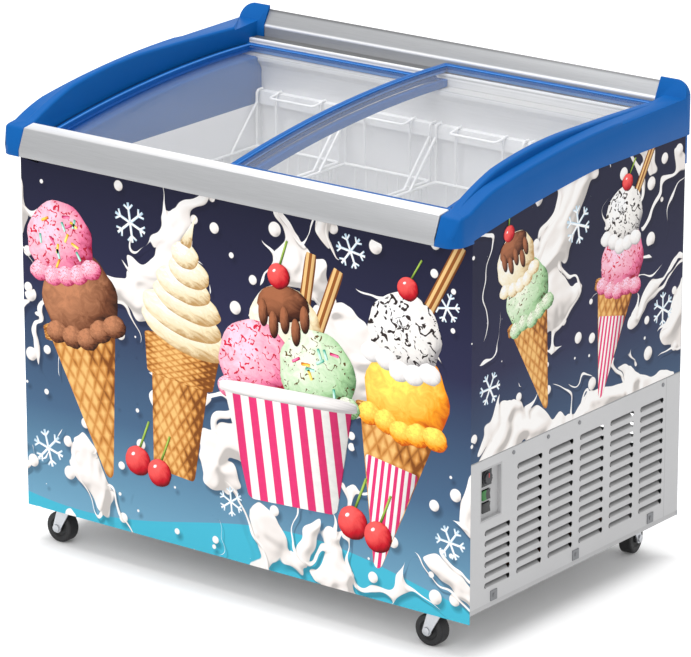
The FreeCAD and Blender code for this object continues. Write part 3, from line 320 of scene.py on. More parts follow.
def finish(name, colour, roughness, metallic=0.0, gloss=0.5, spread=0.05, grain=500.0, relief=0.1,
           stretch=(1.0, 1.0, 1.0)):
    """Finish with clouded colour, uneven gloss and fine relief; stretch draws out the grain."""
    look = Look(name, roughness, metallic, gloss)
    look.fine = look.place.stretched(stretch).noise(grain, 3.0)
    both = look.fine * 0.45 + look.place.noise(9.0, 5.0, roughness=0.6) * 0.55
    wear, rise = 0.05, 0.0004
    look.drive("Roughness", both.fit(0.3, 0.7, roughness + wear, roughness - wear))
    look.drive("Normal", add(look.tree, "Bump", {"Height": look.fine, "Strength": relief, "Distance": rise}))
    return look.paint(both.fit(0.3, 0.7).mix(shade(colour, 1 - spread), shade(colour, 1 + spread)))


def spangle(name, colour):
    """Galvanised sheet with fine crystal spangle and faint rolling streaks."""
    look = Look(name, 0.42, 0.75)
    crystals = add(look.tree, "TexVoronoi", {"Vector": look.place, "Scale": 190.0}, "Color").parts()[0]
    streaks = look.place.stretched((1.0, 1.0, 40.0)).noise(4.0, 4.0)
    worn = look.place.noise(5.0, 5.0) * 0.45 + streaks * 0.3 + crystals * 0.25
    look.drive("Roughness", worn.fit(0.1, 0.9, 0.54, 0.34))
    return look.paint(worn.mix(shade(colour, 0.86), shade(colour, 1.1)))


def dress(look, *nodes):
    """Give CAD nodes a finish."""
    for name in nodes:
        materials = frame["nodes"][name].data.materials
        materials.clear()
        materials.append(look.material)


# Shapes

def place_new(name, data):
    """New object in the scene."""
    item = bpy.data.objects.new(name, data)
    bpy.context.scene.collection.objects.link(item)
    return item


def new_piece(name, bm, body, slot, *looks):
    """Object from a bmesh, riding on a body."""
    mesh = bpy.data.meshes.new(name)
    bm.to_mesh(mesh)
    bm.free()
    for look in looks:
        mesh.materials.append(look.material)
    mesh.polygons.foreach_set("use_smooth", [True] * len(mesh.polygons))
    mesh.set_sharp_from_angle(angle=SMOOTH)
    piece = place_new(name, mesh)
    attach(piece, body)
    return piece


def pour(part, bm):
    """Add a bmesh to another one."""
    mesh = bpy.data.meshes.new("part")
    part.to_mesh(mesh)
    part.free()
    bm.from_mesh(mesh)
    bpy.data.meshes.remove(mesh)


def take(holder, bm):
    """Fill a bmesh with the shape that an object's modifiers or curve give, and remove the object."""
    bpy.context.view_layer.update()
    shaped = bpy.data.meshes.new_from_object(holder.evaluated_get(bpy.context.evaluated_depsgraph_get()))
    bm.clear()
    bm.from_mesh(shaped)
    bpy.data.batch_remove((holder, holder.data, shaped))


def bevel(bm, geom, offset, segments=2, affect="EDGES"):
    """Round edges or corners."""
    bmesh.ops.bevel(bm, geom=geom, offset=offset, offset_type="OFFSET", segments=segments, profile=0.5,
                    affect=affect, clamp_overlap=True, material=-1)


def only(kind, parts):
    """Parts of one kind."""
    return [part for part in parts if isinstance(part, kind)]


def raise_faces(bm, faces, vec):
    """Extrude faces along a vector and give the new ones."""
    parts = bmesh.ops.extrude_face_region(bm, geom=faces)["geom"]
    bmesh.ops.translate(bm, vec=vec, verts=only(bmesh.types.BMVert, parts))
    return only(bmesh.types.BMFace, parts)


def block(bm, middle, size):
    """Box round a point; gives its corners."""
    place = Matrix.Translation(middle) @ Matrix.Diagonal((*size, 1.0))
    return bmesh.ops.create_cube(bm, size=1.0, matrix=place)["verts"]


def crested(bm, radius, rear):
    """Round the top edges ahead of a point with a large radius, less where there is no room for it."""
    upward = 0.35
    weight = bm.edges.layers.float.new("bevel_weight_edge")
    sharp = {edge for edge in bm.edges if edge.calc_face_angle(0.0) > SHARP}
    crests = {edge for edge in sharp if edge.calc_face_angle_signed(0.0) > 0.0
              and sum(face.normal.z for face in edge.link_faces) > upward
              and max(vert.co.y for vert in edge.verts) < rear}
    for edge in crests:
        middle = 0.5 * (edge.verts[0].co + edge.verts[1].co)
        room = radius
        for other in {other for face in edge.link_faces for other in face.edges} & sharp - crests:
            start, end = (vert.co for vert in other.verts)
            share = geometry.intersect_point_line(middle, start, end)[1]
            room = min(room, (start.lerp(end, min(1.0, max(0.0, share))) - middle).length)
        edge[weight] = room / radius
    mesh = bpy.data.meshes.new("crested")
    bm.to_mesh(mesh)
    holder = place_new("crested", mesh)
    modifier = holder.modifiers.new("crest", "BEVEL")
    modifier.limit_method = "WEIGHT"
    modifier.width = radius
    modifier.segments = 5
    modifier.use_clamp_overlap = False
    take(holder, bm)


def rounded(node, radius, slot, *looks, pick=None, crest=0.0, rear=0.0, split=None, shape=None):
    """Copy of a CAD node with its edges rounded, standing for the node.

    pick gives the number of a face's finish, crest is a larger radius for the edges on top ahead of rear,
    split is a point where faces are cut across Y, and shape works on the copy before it is rounded.
    """
    source = frame["nodes"][node]
    bm = bmesh.new()
    bm.from_mesh(source.data)
    bmesh.ops.remove_doubles(bm, verts=bm.verts, dist=MERGE)
    bmesh.ops.dissolve_limit(bm, angle_limit=FLAT, verts=bm.verts, edges=bm.edges)
    if shape:
        shape(bm)
    if crest:
        crested(bm, crest, rear)
    bevel(bm, [edge for edge in bm.edges if edge.calc_face_angle(0.0) > SHARP], radius)
    if split:
        bmesh.ops.bisect_plane(bm, geom=[*bm.verts, *bm.edges, *bm.faces], plane_co=split,
                               plane_no=(0.0, 1.0, 0.0))
    for face in bm.faces:
        face.material_index = pick(face.calc_center_median()) if pick else 0
    piece = new_piece(node + "_rounded", bm, source["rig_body"], slot, *looks)
    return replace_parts(piece, node)


def wire(curve, corners, bend, closed):
    """Wire through corner points with a rounded bend at each inner one."""
    pull = 0.55 * bend
    points = [Vector(corner) for corner in corners]
    count = len(points)
    stops = []
    for i, point in enumerate(points):
        if not closed and i in (0, count - 1):
            stops.append((point, point, point))
            continue
        into = (point - points[i - 1]).normalized()
        out = (points[(i + 1) % count] - point).normalized()
        start = point - into * bend
        end = point + out * bend
        stops.append((start - into * bend, start, start + into * pull))
        stops.append((end - out * pull, end, end + out * bend))
    spline = curve.splines.new("BEZIER")
    spline.bezier_points.add(len(stops) - 1)
    spline.use_cyclic_u = closed
    for stop, (left, middle, right) in zip(spline.bezier_points, stops):
        stop.handle_left_type = stop.handle_right_type = "FREE"
        stop.co = middle
        stop.handle_left = left
        stop.handle_right = right


def draw_wires(bm, diameter, paths):
    """Add round wires to a bmesh: each path is its corner points, its bend and whether it is closed."""
    curve = bpy.data.curves.new("wire", "CURVE")
    curve.dimensions = "3D"
    curve.bevel_depth = diameter / 2
    curve.bevel_resolution = 2
    curve.resolution_u = 5
    curve.use_fill_caps = True
    for path in paths:
        wire(curve, *path)
    part = bmesh.new()
    take(place_new("wire", curve), part)
    bmesh.ops.remove_doubles(part, verts=part.verts, dist=MERGE)
    pour(part, bm)


class FREEZER_OT_panels(bpy.types.Operator):
    """Dress the sheet metal of the cabinet"""
    bl_idname = "freezer.panels"
    bl_label = "Panels"

    def execute(self, context):
        colours = context.scene.freezer_colours
        dress(spangle("galvanised_sheet", colours.sheet_zinc), "rear_panel", "machine_bay_wall")
        dress(finish("base_coat", shade(colours.grille_grey, 0.9), 0.5, grain=700.0), "base_pan")
        dress(finish("insulation_foam", colours.foam, 0.9, grain=180.0, relief=0.6), "foam_insulation")
        return {"FINISHED"}


# Print

LAYER = 0.00006  # rise of one printed shape over the last
BAR = ((-1, -1), (1, -1), (1, 1), (-1, 1))
BALL_INKS = {  # shade, middle and light, then the scale of the crumb, and the colour and threshold of bits
    "rim": ((176, 172, 172), (232, 228, 226), (255, 252, 250), 1.0),
    "vanilla": ((190, 150, 96), (244, 226, 186), (255, 247, 226)),
    "strawberry": ((168, 40, 84), (238, 122, 160), (252, 190, 208), 3.2, (206, 26, 60)),
    "chocolate": ((50, 24, 14), (112, 64, 40), (176, 118, 84)),
    "cookies": ((148, 144, 146), (232, 228, 224), (255, 252, 248), 2.3, (44, 34, 34), 0.58),
    "pistachio": ((88, 128, 84), (168, 208, 156), (220, 240, 206), 3.2, (98, 74, 34), 0.66),
    "mango": ((196, 84, 10), (250, 160, 32), (255, 212, 92)),
    "berry": ((150, 14, 66), (230, 50, 115), (252, 130, 172)),
    "lemon": ((214, 152, 8), (250, 206, 36), (255, 236, 130), 1.5),
    "mint": ((50, 140, 124), (120, 206, 180), (196, 240, 222), 1.5),
    "fudge": ((30, 12, 8), (78, 38, 22), (150, 92, 62), 1.4),
    "cherry": ((96, 4, 16), (196, 18, 36), (244, 86, 84), 0.8),
    "stalk": ((60, 84, 24), (104, 136, 44), (158, 186, 82), 2.0),
    "shine": ((255, 226, 222), (255, 244, 240), (255, 255, 255), 0.8),
    "frost": ((186, 214, 232), (222, 238, 248), (255, 255, 255), 1.0),
}


def splash_height(flat):
    """Height of the printed cream over the ground: above 0 inside a splash."""
    drift = flat.noise(3.4, 3.0, "2D", "Color").vector("SUBTRACT", (0.5, 0.5, 0.5))
    bent = drift.vector("MULTIPLY_ADD", (0.3, 0.3, 0.0), flat)
    pools = bent.noise(5.4, 2.5, "2D", roughness=0.45)
    strand = pools.fit(0.404, 0.62, -0.0175, 0.05) - abs(bent.noise(8.0, 1.0, "2D") - 0.5)
    cells = add(flat.tree, "TexVoronoi", {"Vector": flat, "Scale": 24.0}, voronoi_dimensions="2D")
    drop = (cells.other("Color").parts()[0].fit(0.45, 1.0, -0.128, 0.34) - cells) * 0.12
    return (pools - 0.585).maths("MAXIMUM", strand).maths("MAXIMUM", drop)


def print_ground(colours):
    """Printed film of the panels: night sky over a wave, with cream splashes."""
    look = Look("printed_film", 0.4, gloss=0.08)
    x, y, z = look.place.parts()
    along = x + y
    flat = add(look.tree, "CombineXYZ", {0: along, 1: z})
    colour = z.fit(0.065, 0.765).ramp((0.0, colours.sky), (0.28, colours.slate),
                                      (0.6, shade(colours.night, 1.7)), (0.85, colours.night))
    wave = (along * 6.5 + 2.6).maths("SINE") * 0.032 + 0.112
    colour = (wave - z).fit(-0.0005, 0.0005).mix(colour, colours.teal)
    here = splash_height(flat)
    there = splash_height(flat.vector("ADD", (-0.006, 0.008, 0.0)))
    colour = there.fit(-0.012, 0.012, 0.0, 0.45).mix(colour, shade(colours.night, 0.6))
    cream = (here - there).fit(-0.035, 0.035).ramp((0.1, shade(colours.cream, 0.62)), (0.42, colours.cream),
                                                   (0.85, (1.0, 0.98, 0.96)))
    return look.paint(here.fit(0.0012, 0.0042).mix(colour, cream))


def ink(name):
    """Printed ink, the shape's own flat coordinates, and their two parts."""
    look = Look(name, 0.4, gloss=0.1)
    flat = add(look.tree, "UVMap", {}, uv_map="print")
    return look, flat, *flat.parts()[:2]


def ball_ink(name, dark, middle, light, crumb=3.2, bits=None, share=0.62):
    """Scooped ice cream or fruit, lit from the upper left, with a crumbly surface and bits in it."""
    look, flat, across, up = ink(name)
    depth = (1.0 - (across * across + up * up)).maths("MAXIMUM", 0.0).maths("SQRT")
    roundness = depth * 0.72 + (across * -0.42 + up * 0.55)
    lumps = flat.noise(crumb, 7.0, "2D", roughness=0.62, distortion=0.5)
    level = (lumps - 0.5) * 0.9 + roundness.fit(-0.35, 1.0)
    colour = level.ramp((0.02, srgb(*dark)), (0.4, srgb(*middle)), (0.78, srgb(*light)),
                        (1.0, shade(srgb(*light), 1.35)))
    if bits:
        spots = flat.noise(crumb * 2.1, 2.0, "2D", distortion=1.2)
        shaded = level.fit(0.0, 1.0).mix(shade(srgb(*bits), 0.5), shade(srgb(*bits), 1.25))
        colour = spots.fit(share, share + 0.02).mix(colour, shaded)
    return look.paint(colour)


def wafer_ink(name, dark, middle, light):
    """Baked wafer with crossing ridges, round from side to side."""
    look, flat, across, up = ink(name)
    lines = 3.4
    first, second = (abs((across * way + up * lines).maths("FRACT") - 0.5) for way in (lines, -lines))
    side = across + 0.25
    level = first.maths("MINIMUM", second) * 1.1 + flat.noise(2.4, 6.0, "2D") * 0.8 - side * side * 0.42
    return look.paint(level.ramp((0.15, srgb(*dark)), (0.42, srgb(*middle)), (0.75, srgb(*light))))


def stripe_ink(name, first, second, count):
    """Paper or wafer with stripes, round from side to side."""
    look, flat, across, up = ink(name)
    run = (up * (0.06 * count) + across * count).maths("FRACT")
    colour = abs(run - 0.5).fit(0.235, 0.265).mix(srgb(*first), srgb(*second))
    side = across + 0.3
    return look.paint(colour.scaled(flat.noise(9.0, 5.0, "2D") * 0.16 + 1.0 - side * side * 0.34))


def print_inks():
    """Inks of the printed motifs."""
    inks = {
        "wafer": wafer_ink("ink_wafer", (128, 72, 26), (206, 138, 66), (244, 194, 120)),
        "paper": stripe_ink("ink_paper", (250, 248, 244), (226, 54, 116), 4.0),
        "roll": stripe_ink("ink_roll", (238, 196, 132), (150, 88, 40), 1.0),
    }
    inks.update({name: ball_ink("ink_" + name, *tones) for name, tones in BALL_INKS.items()})
    return inks


def taper(foot):
    """Corners of a shape that is narrower at its foot."""
    return (-1, 1), (1, 1), (foot, -1), (-foot, -1)


def polar(turn, reach):
    """Point at an angle in degrees and a distance."""
    return Vector((math.cos(math.radians(turn)), math.sin(math.radians(turn)))) * reach


def placed(x, y, turn, half_x, half_y):
    """Matrix that sizes, turns and moves a flat shape."""
    return (Matrix.Translation((x, y, 0.0)) @ Matrix.Rotation(math.radians(turn), 4, "Z")
            @ Matrix.Diagonal((half_x, half_y, 1.0, 1.0)))


class Film:
    """Shapes printed on one panel: thin slabs on its face, laid one over another."""

    def __init__(self, name, origin, across, inks):
        across = Vector(across)
        up = Vector((0.0, 0.0, 1.0))
        self.name = name
        self.panel = Matrix.Translation(origin) @ Matrix((across, up, across.cross(up))).transposed().to_4x4()
        self.inks = inks
        self.bm = bmesh.new()
        self.at(0.0, 0.0, 1.0)

    def at(self, x, z, size, tilt=0.0, layer=0):
        """Choose the place, size and tilt of the next motif."""
        self.spot = placed(x, z, tilt, size, size)
        self.layer = layer
        return self

    def lay(self, name, x, y, half_x, half_y, turn=0.0, corners=None, soften=0.0, ripple=0.0, sides=40):
        """Lay a disc, or a polygon of corners in its own unit frame, over what is there."""
        shape = bmesh.new()
        flat = shape.loops.layers.uv.new("print")
        if corners:
            shape.faces.new([shape.verts.new((*corner, 0.0)) for corner in corners])
            bevel(shape, shape.verts[:], soften, 5, "VERTICES")
        else:
            bmesh.ops.create_circle(shape, cap_ends=True, segments=sides, radius=1.0)
        for face in shape.faces:
            for loop in face.loops:
                loop[flat].uv = loop.vert.co.xy
        seed = Vector((x * 31.0, y * 17.0, half_x * 53.0))
        for vert in shape.verts:
            vert.co *= 1.0 + ripple * noise.noise(vert.co * 2.3 + seed)
        place = self.spot @ placed(x, y, turn, half_x, half_y)
        bmesh.ops.transform(shape, matrix=place, verts=shape.verts)
        self.layer += 1
        raise_faces(shape, shape.faces[:], (0.0, 0.0, LAYER * self.layer))
        bmesh.ops.recalc_face_normals(shape, faces=shape.faces)
        bmesh.ops.transform(shape, matrix=self.panel, verts=shape.verts)
        index = list(self.inks).index(name)
        for face in shape.faces:
            face.material_index = index
        pour(shape, self.bm)

    def scoop(self, name, x, y, radius, chance, sprinkles=0):
        """Ball of ice cream with a ruffled foot."""
        self.lay(name, x, y, radius, radius * 0.96, ripple=0.07)
        for reach in (-1.0, -0.5, 0.0, 0.5, 1.0):
            drop = chance.uniform(0.78, 0.92) - 0.16 * abs(reach)
            self.lay("rim" if name == "cookies" else name, x + reach * radius * 0.78, y - radius * drop,
                     radius * 0.3, radius * 0.24, chance.uniform(-12, 12), ripple=0.12, sides=20)
        for _ in range(sprinkles):
            turn = chance.uniform(0, 360)
            spot = polar(turn, radius * math.sqrt(chance.uniform(0.02, 0.62)))
            self.layer -= 1
            self.lay(chance.choice(("berry", "lemon", "mint", "mango")), x + spot.x,
                     y + radius * 0.12 + spot.y, 0.026, 0.0075, chance.uniform(0, 180), BAR, 0.3)
        self.layer += bool(sprinkles)

    def sauce(self, name, x, y, radius):
        """Sauce running down from the top of a ball."""
        self.lay(name, x, y + radius * 0.52, radius * 0.72, radius * 0.42, ripple=0.1)
        for reach, drop in ((-0.58, 0.26), (-0.3, 0.02), (0.02, 0.16), (0.32, -0.08), (0.58, 0.24)):
            self.lay(name, x + radius * reach, y + radius * drop, radius * 0.13, radius * 0.32, sides=20)

    def cherry(self, x, y, radius):
        """Cherry with its stalk."""
        self.lay("stalk", x + radius * 0.5, y + radius * 1.7, radius * 0.08, radius * 1.1, -22, BAR, 0.1)
        self.lay("cherry", x, y, radius, radius * 0.96, ripple=0.05, sides=28)
        self.lay("shine", x - radius * 0.36, y + radius * 0.4, radius * 0.16, radius * 0.1, 35, sides=14)

    def cone(self, chance, lower, upper, topping, sleeve=None):
        """Waffle cone with two balls of ice cream, tip at the foot."""
        self.lay("wafer", 0.0, -0.34, 0.235, 0.4, corners=taper(0.09), soften=0.12)
        if sleeve:
            self.lay(sleeve, 0.0, -0.46, 0.165, 0.28, corners=taper(0.12), soften=0.14)
        self.lay("wafer", 0.0, 0.035, 0.26, 0.05, corners=BAR, soften=0.4)
        self.scoop(lower, 0.03, 0.2, 0.25, chance)
        x, y, radius = -0.03, 0.495, 0.22
        if topping == "wafer":
            self.lay("roll", 0.13, y + 0.3, 0.035, 0.26, -20, BAR, 0.25)
        self.scoop(upper, x, y, radius, chance, 14 if topping == "sprinkles" else 0)
        if topping == "sauce":
            self.sauce("fudge", x, y, radius)
        if topping != "sprinkles":
            self.cherry(x - 0.02, y + radius * 1.06, 0.062)

    def swirl(self, flavour):
        """Soft ice cream swirled on a flat-bottomed wafer."""
        self.lay("wafer", 0.0, -0.36, 0.17, 0.26, corners=taper(0.72), soften=0.1)
        self.lay("wafer", 0.0, -0.06, 0.225, 0.1, corners=taper(0.86), soften=0.16)
        for i in range(6):
            share = i / 6
            self.lay(flavour, 0.014 * (-1) ** i, 0.09 + 0.44 * share, 0.265 * (1 - 0.86 * share ** 1.15),
                     0.1 * (1 - 0.45 * share), -9, ripple=0.05)
        self.lay(flavour, 0.005, 0.585, 0.036, 0.085, -14, ((-1, -1), (1, -1), (0.35, 0.4), (0.5, 1.1)), 0.5)

    def sundae(self, chance):
        """Striped paper cup with three balls and rolled wafers."""
        self.lay("roll", 0.2, 0.42, 0.034, 0.32, -24, BAR, 0.25)
        self.lay("roll", 0.11, 0.46, 0.034, 0.32, -12, BAR, 0.25)
        self.scoop("vanilla", 0.0, 0.4, 0.21, chance)
        self.scoop("strawberry", -0.18, 0.2, 0.22, chance)
        self.scoop("pistachio", 0.18, 0.2, 0.22, chance, 10)
        self.sauce("fudge", 0.0, 0.4, 0.21)
        self.cherry(-0.02, 0.64, 0.064)
        self.lay("paper", 0.0, -0.2, 0.38, 0.27, corners=taper(0.68), soften=0.1)
        self.lay("rim", 0.0, 0.065, 0.405, 0.034, corners=BAR, soften=0.5)

    def flakes(self, *spots):
        """Snow crystals of six arms."""
        for spot in spots:
            self.at(*spot)
            for turn in (30, 90, 150):
                self.lay("frost", 0.0, 0.0, 1.0, 0.07, turn, BAR, 0.05)
            for side in (-50, 50):
                for turn in range(30, 390, 60):
                    root = polar(turn, 0.66)
                    barb = polar(turn + side, 0.16)
                    self.lay("frost", root.x + barb.x, root.y + barb.y, 0.2, 0.055, turn + side, BAR, 0.05)
                    self.layer -= 1
                self.layer += 1

    def piece(self):
        """The finished print as a piece of the cabinet."""
        return new_piece(self.name, self.bm, "cabinet", "printed_panel", *self.inks.values())


class FREEZER_OT_print(bpy.types.Operator):
    """Print the front and side panels"""
    bl_idname = "freezer.print"
    bl_label = "Printed panels"

    def execute(self, context):
        dress(print_ground(context.scene.freezer_colours), "front_panel", "left_panel", "right_panel")
        inks = print_inks()
        chance = random.Random(7)
        film = Film("front_print", (0.0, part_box("front_panel")[0].y, 0.0), (1.0, 0.0, 0.0), inks)
        film.at(-0.345, 0.4, 0.34, 13).cone(chance, "chocolate", "strawberry", "sprinkles")
        film.at(-0.125, 0.42, 0.37, -5).swirl("vanilla")
        film.at(0.33, 0.37, 0.34, -9).cone(chance, "mango", "cookies", "wafer", "paper")
        film.at(0.105, 0.36, 0.36, 3).sundae(chance)
        film.flakes((-0.235, 0.625, 0.035, 8), (0.235, 0.66, 0.03, 22), (-0.43, 0.18, 0.034, 15),
                    (0.43, 0.6, 0.026, 40), (-0.02, 0.17, 0.026, 5), (0.44, 0.2, 0.03, 25))
        for x, z, size in ((-0.225, 0.2, 0.4), (0.24, 0.19, 0.44)):
            film.at(x, z, size, layer=12).cherry(0.0, 0.0, 0.07)
            film.cherry(0.12, -0.03, 0.065)
        film.piece()
        film = Film("right_print", (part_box("right_panel")[1].x, 0.0, 0.0), (0.0, 1.0, 0.0), inks)
        film.at(-0.125, 0.55, 0.235, 17).cone(chance, "pistachio", "vanilla", "sauce")
        film.at(0.125, 0.54, 0.25, -13).cone(chance, "strawberry", "cookies", "wafer", "paper")
        film.flakes((0.01, 0.68, 0.034, 10), (-0.235, 0.46, 0.028, 30), (0.27, 0.47, 0.03, 0))
        film.piece()
        film = Film("left_print", (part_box("left_panel")[0].x, 0.0, 0.0), (0.0, -1.0, 0.0), inks)
        film.at(-0.16, 0.44, 0.36, 10).cone(chance, "mango", "vanilla", "sauce")
        film.at(0.1, 0.42, 0.37, -6).swirl("strawberry")
        film.flakes((-0.02, 0.66, 0.034, 10), (0.235, 0.3, 0.03, 30), (-0.24, 0.16, 0.03, 0))
        film.piece()
        return {"FINISHED"}


class FREEZER_OT_end_caps(bpy.types.Operator):
    """Round and dress the moulded end caps"""
    bl_idname = "freezer.end_caps"
    bl_label = "End caps"

    def execute(self, context):
        colours = context.scene.freezer_colours
        sizes = context.scene.freezer_sizes
        blue = finish("moulded_blue", colours.cap_blue, 0.45, gloss=0.1, spread=0.04, grain=900.0,
                      relief=0.06)
        for node in ("left_end_cap", "right_end_cap"):
            rounded(node, sizes.bar_round, "blue_plastic", blue, crest=sizes.cap_round,
                    rear=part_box(node)[1].y - sizes.hump_depth + sizes.bar_round)
        return {"FINISHED"}


class FREEZER_OT_rails(bpy.types.Operator):
    """Round and dress the aluminium rails, white on the side of the tub"""
    bl_idname = "freezer.rails"
    bl_label = "Rails"

    def execute(self, context):
        colours = context.scene.freezer_colours
        sizes = context.scene.freezer_sizes
        crown = colours.liner_white
        grey, pale, dark = (shade(colours.aluminium, factor) for factor in (0.84, 1.1, 0.4))
        white = finish("white_rail_lining", shade(crown, 0.86), 0.45, gloss=0.3, spread=0.02, grain=600.0,
                       relief=0.04)
        # Painted light and shade: a lighter band at the foot of the front rail, grey on its face and a white
        # highlight on its top.
        face = self.shade_bands("front_aluminium", "front_rail", (0.0, pale), (0.13, pale), (0.19, grey),
                           (0.5, grey), (0.925, shade(grey, 1.04)), (0.985, crown))
        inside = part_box("front_rail")[0].y + sizes.rail_crown
        rounded("front_rail", sizes.bar_round, "rail", face, white, pick=lambda spot: int(spot.y > inside))
        # Painted light and shade on the rear rail: a dark ledge at its foot, white highlight lines on its lip
        # and a dark line along its top edge.
        face = self.shade_bands("rear_aluminium", "rear_rail", (0.697, dark), (0.706, shade(grey, 0.9)),
                           (0.8, grey), (0.815, crown), (0.83, crown), (0.845, grey), (0.965, grey),
                           (0.985, dark))
        # Painted shade on the white lining: grey lines where its steps meet and a darker ledge, with white
        # between.
        tones = ((0.545, 0.84), (0.55, 0.56), (0.566, 0.56), (0.572, 0.74), (0.612, 0.78), (0.63, 0.7),
                 (0.652, 0.9), (0.662, 0.56), (0.672, 0.56), (0.68, 0.88))
        lining = self.shade_bands("rear_rail_lining", "rear_rail",
                             *((place, shade(crown, tone)) for place, tone in tones), metallic=0.0)
        # The back of the rear rail grows lighter towards the top.
        plain = self.shade_bands("plain_aluminium", "rear_rail", (0.0, grey), (1.0, pale))
        low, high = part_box("rear_rail")
        lined = low.y + sizes.rail_lining
        back = high.y - 0.001
        rounded("rear_rail", sizes.bar_round, "rail", face, lining, plain, split=Vector((0.0, lined, 0.0)),
                pick=lambda spot: 1 if spot.y < lined else 2 * int(spot.y > back))
        return {"FINISHED"}

    def shade_bands(self, name, node, *stops, metallic=0.5):
        """Drawn profile with bands of painted light and shade up its height, placed at the steps of its
        section.
        """
        low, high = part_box(node)
        look = finish(name, stops[0][1], 0.42, metallic, grain=24.0, relief=0.05, stretch=(1.0, 60.0, 60.0))
        tone = look.place.parts()[2].fit(low.z, high.z).ramp(*stops)
        return look.paint(tone.scaled(look.fine.fit(0.3, 0.7, 0.94, 1.06)))


class FREEZER_OT_lids(bpy.types.Operator):
    """Glaze and dress the two sliding lids"""
    bl_idname = "freezer.lids"
    bl_label = "Lids"

    def execute(self, context):
        colours = context.scene.freezer_colours
        sizes = context.scene.freezer_sizes
        blue = self.plastic("lid_blue", colours.cap_blue)
        # Painted light: the inner faces of the bars, which lie in shade under the glass, get a lighter blue.
        inner = self.plastic("lid_inner_lit_blue", colours.lid_inner_lit)
        rubber = finish("glazing_gasket", shade(colours.cap_blue, 0.9), 0.6, gloss=0.2, spread=0.1,
                        grain=400.0)
        near = 0.0006
        for side in ("left", "right"):
            glass, gasket = self.glaze(side, sizes)
            edge_shaded = self.edge_shaded(side, colours, sizes)
            pane = new_piece(side + "_lid_pane", glass, side + "_lid", "glass", edge_shaded)
            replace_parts(pane, side + "_lid_glass")
            new_piece(side + "_lid_gasket", gasket, side + "_lid", "rubber", rubber)
            x0, x1, y0, y1 = self.opening(side, sizes)
            groove_shaded = self.groove_shaded(side, colours, sizes)
            for bar, coat in (("front_bar", blue), ("rear_bar", blue), ("side_bars", groove_shaded)):
                rounded(f"{side}_lid_{bar}", sizes.bar_round, "blue_plastic", coat, inner,
                        pick=lambda spot: int(min(abs(spot.x - x0), abs(spot.x - x1), abs(spot.y - y0),
                                                  abs(spot.y - y1)) < near),
                        shape=lambda bm: self.trim(bm, side, bar, sizes))
        dress(finish("brush_pile", shade(colours.cap_blue, 0.8), 0.9, gloss=0.1, grain=60.0, relief=0.8,
                     stretch=(30.0, 30.0, 1.0)), "right_lid_brush_seal")
        return {"FINISHED"}

    def plastic(self, name, colour):
        """Moulded plastic of the lids."""
        return finish(name, colour, 0.4, gloss=0.12, spread=0.04, grain=900.0, relief=0.05)

    def opening(self, side, sizes):
        """Inner faces of a lid's bars: left, right, front and rear."""
        low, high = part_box(side + "_lid_glass")
        bite = sizes.glass_bite - sizes.bar_trim
        right = sizes.glass_bite if side == "left" else bite
        return low.x + bite, high.x - right, low.y + bite, high.y - bite

    def trim(self, bm, side, bar, sizes):
        """Take one side off the bars of a lid, down to the slender section that shows."""
        x0, x1, y0, y1 = self.opening(side, sizes)
        middle = 0.5 * (x0 + x1)
        near = 0.0001
        if bar == "front_bar":
            self.cut(bm, (0.0, y0, 0.0), (0.0, 1.0, 0.0))
        elif bar == "rear_bar":
            self.cut(bm, (0.0, y1, 0.0), (0.0, -1.0, 0.0))
        else:
            for end, step in ((y0 + sizes.bar_trim, -sizes.bar_trim),
                              (y1 - sizes.bar_trim, sizes.bar_trim)):
                bmesh.ops.translate(bm, vec=(0.0, step, step * (sizes.lid_peak - end) / sizes.lid_radius),
                                    verts=[vert for vert in bm.verts if abs(vert.co.y - end) < near])
            self.cut(bm, (x0, 0.0, 0.0), (1.0, 0.0, 0.0), high=middle)
            if side == "right":
                self.cut(bm, (x1, 0.0, 0.0), (-1.0, 0.0, 0.0), low=middle)
        if side == "left":
            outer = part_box("left_lid_side_bars")[1].x - sizes.bar_trim
            self.cut(bm, (outer, 0.0, 0.0), (1.0, 0.0, 0.0))
        bmesh.ops.recalc_face_normals(bm, faces=bm.faces)

    def cut(self, bm, place, way, low=-1.0, high=1.0):
        """Take away what lies beyond a plane, between two points along X, and close the cut."""
        verts = [vert for vert in bm.verts if low < vert.co.x < high]
        parts = dict.fromkeys(part for vert in verts for part in (vert, *vert.link_edges, *vert.link_faces))
        seam = bmesh.ops.bisect_plane(bm, geom=list(parts), plane_co=place, plane_no=way, clear_outer=True)
        bmesh.ops.holes_fill(bm, edges=only(bmesh.types.BMEdge, seam["geom_cut"]), sides=0)

    def edge_shaded(self, side, colours, sizes):
        """Clear glass with a painted blue shade that fades away from its left edge."""
        look = Look(side + "_lid_glass", 0.04)
        edge = self.opening(side, sizes)[0] + sizes.gasket_width
        fade = sizes.edge_shade_fade if side == "left" else sizes.gasket_width
        # Painted shade: the glass turns blue and less clear towards its left edge.
        border = look.place.parts()[0].fit(edge + fade, edge)
        look.drive("Alpha", border.fit(0.15, 1.0, sizes.glass_veil, 0.42))
        smear = look.place.noise(7.0, 4.0).fit(0.3, 0.7)
        haze = smear.mix(shade(colours.glass_haze, 0.94), shade(colours.glass_haze, 1.05))
        return look.paint(border.fit(0.0, 0.55, way="SMOOTHSTEP").mix(haze, colours.glass_edge_shade))

    def groove_shaded(self, side, colours, sizes):
        """Blue plastic with a painted dark shade line along the outer edge of a lid, where it meets the cap
        wall.
        """
        look = self.plastic(side + "_lid_blue", colours.cap_blue)
        low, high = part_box(side + "_lid_side_bars")
        soft = 0.001
        reach = abs(look.place.parts()[0] - (low.x if side == "left" else high.x))
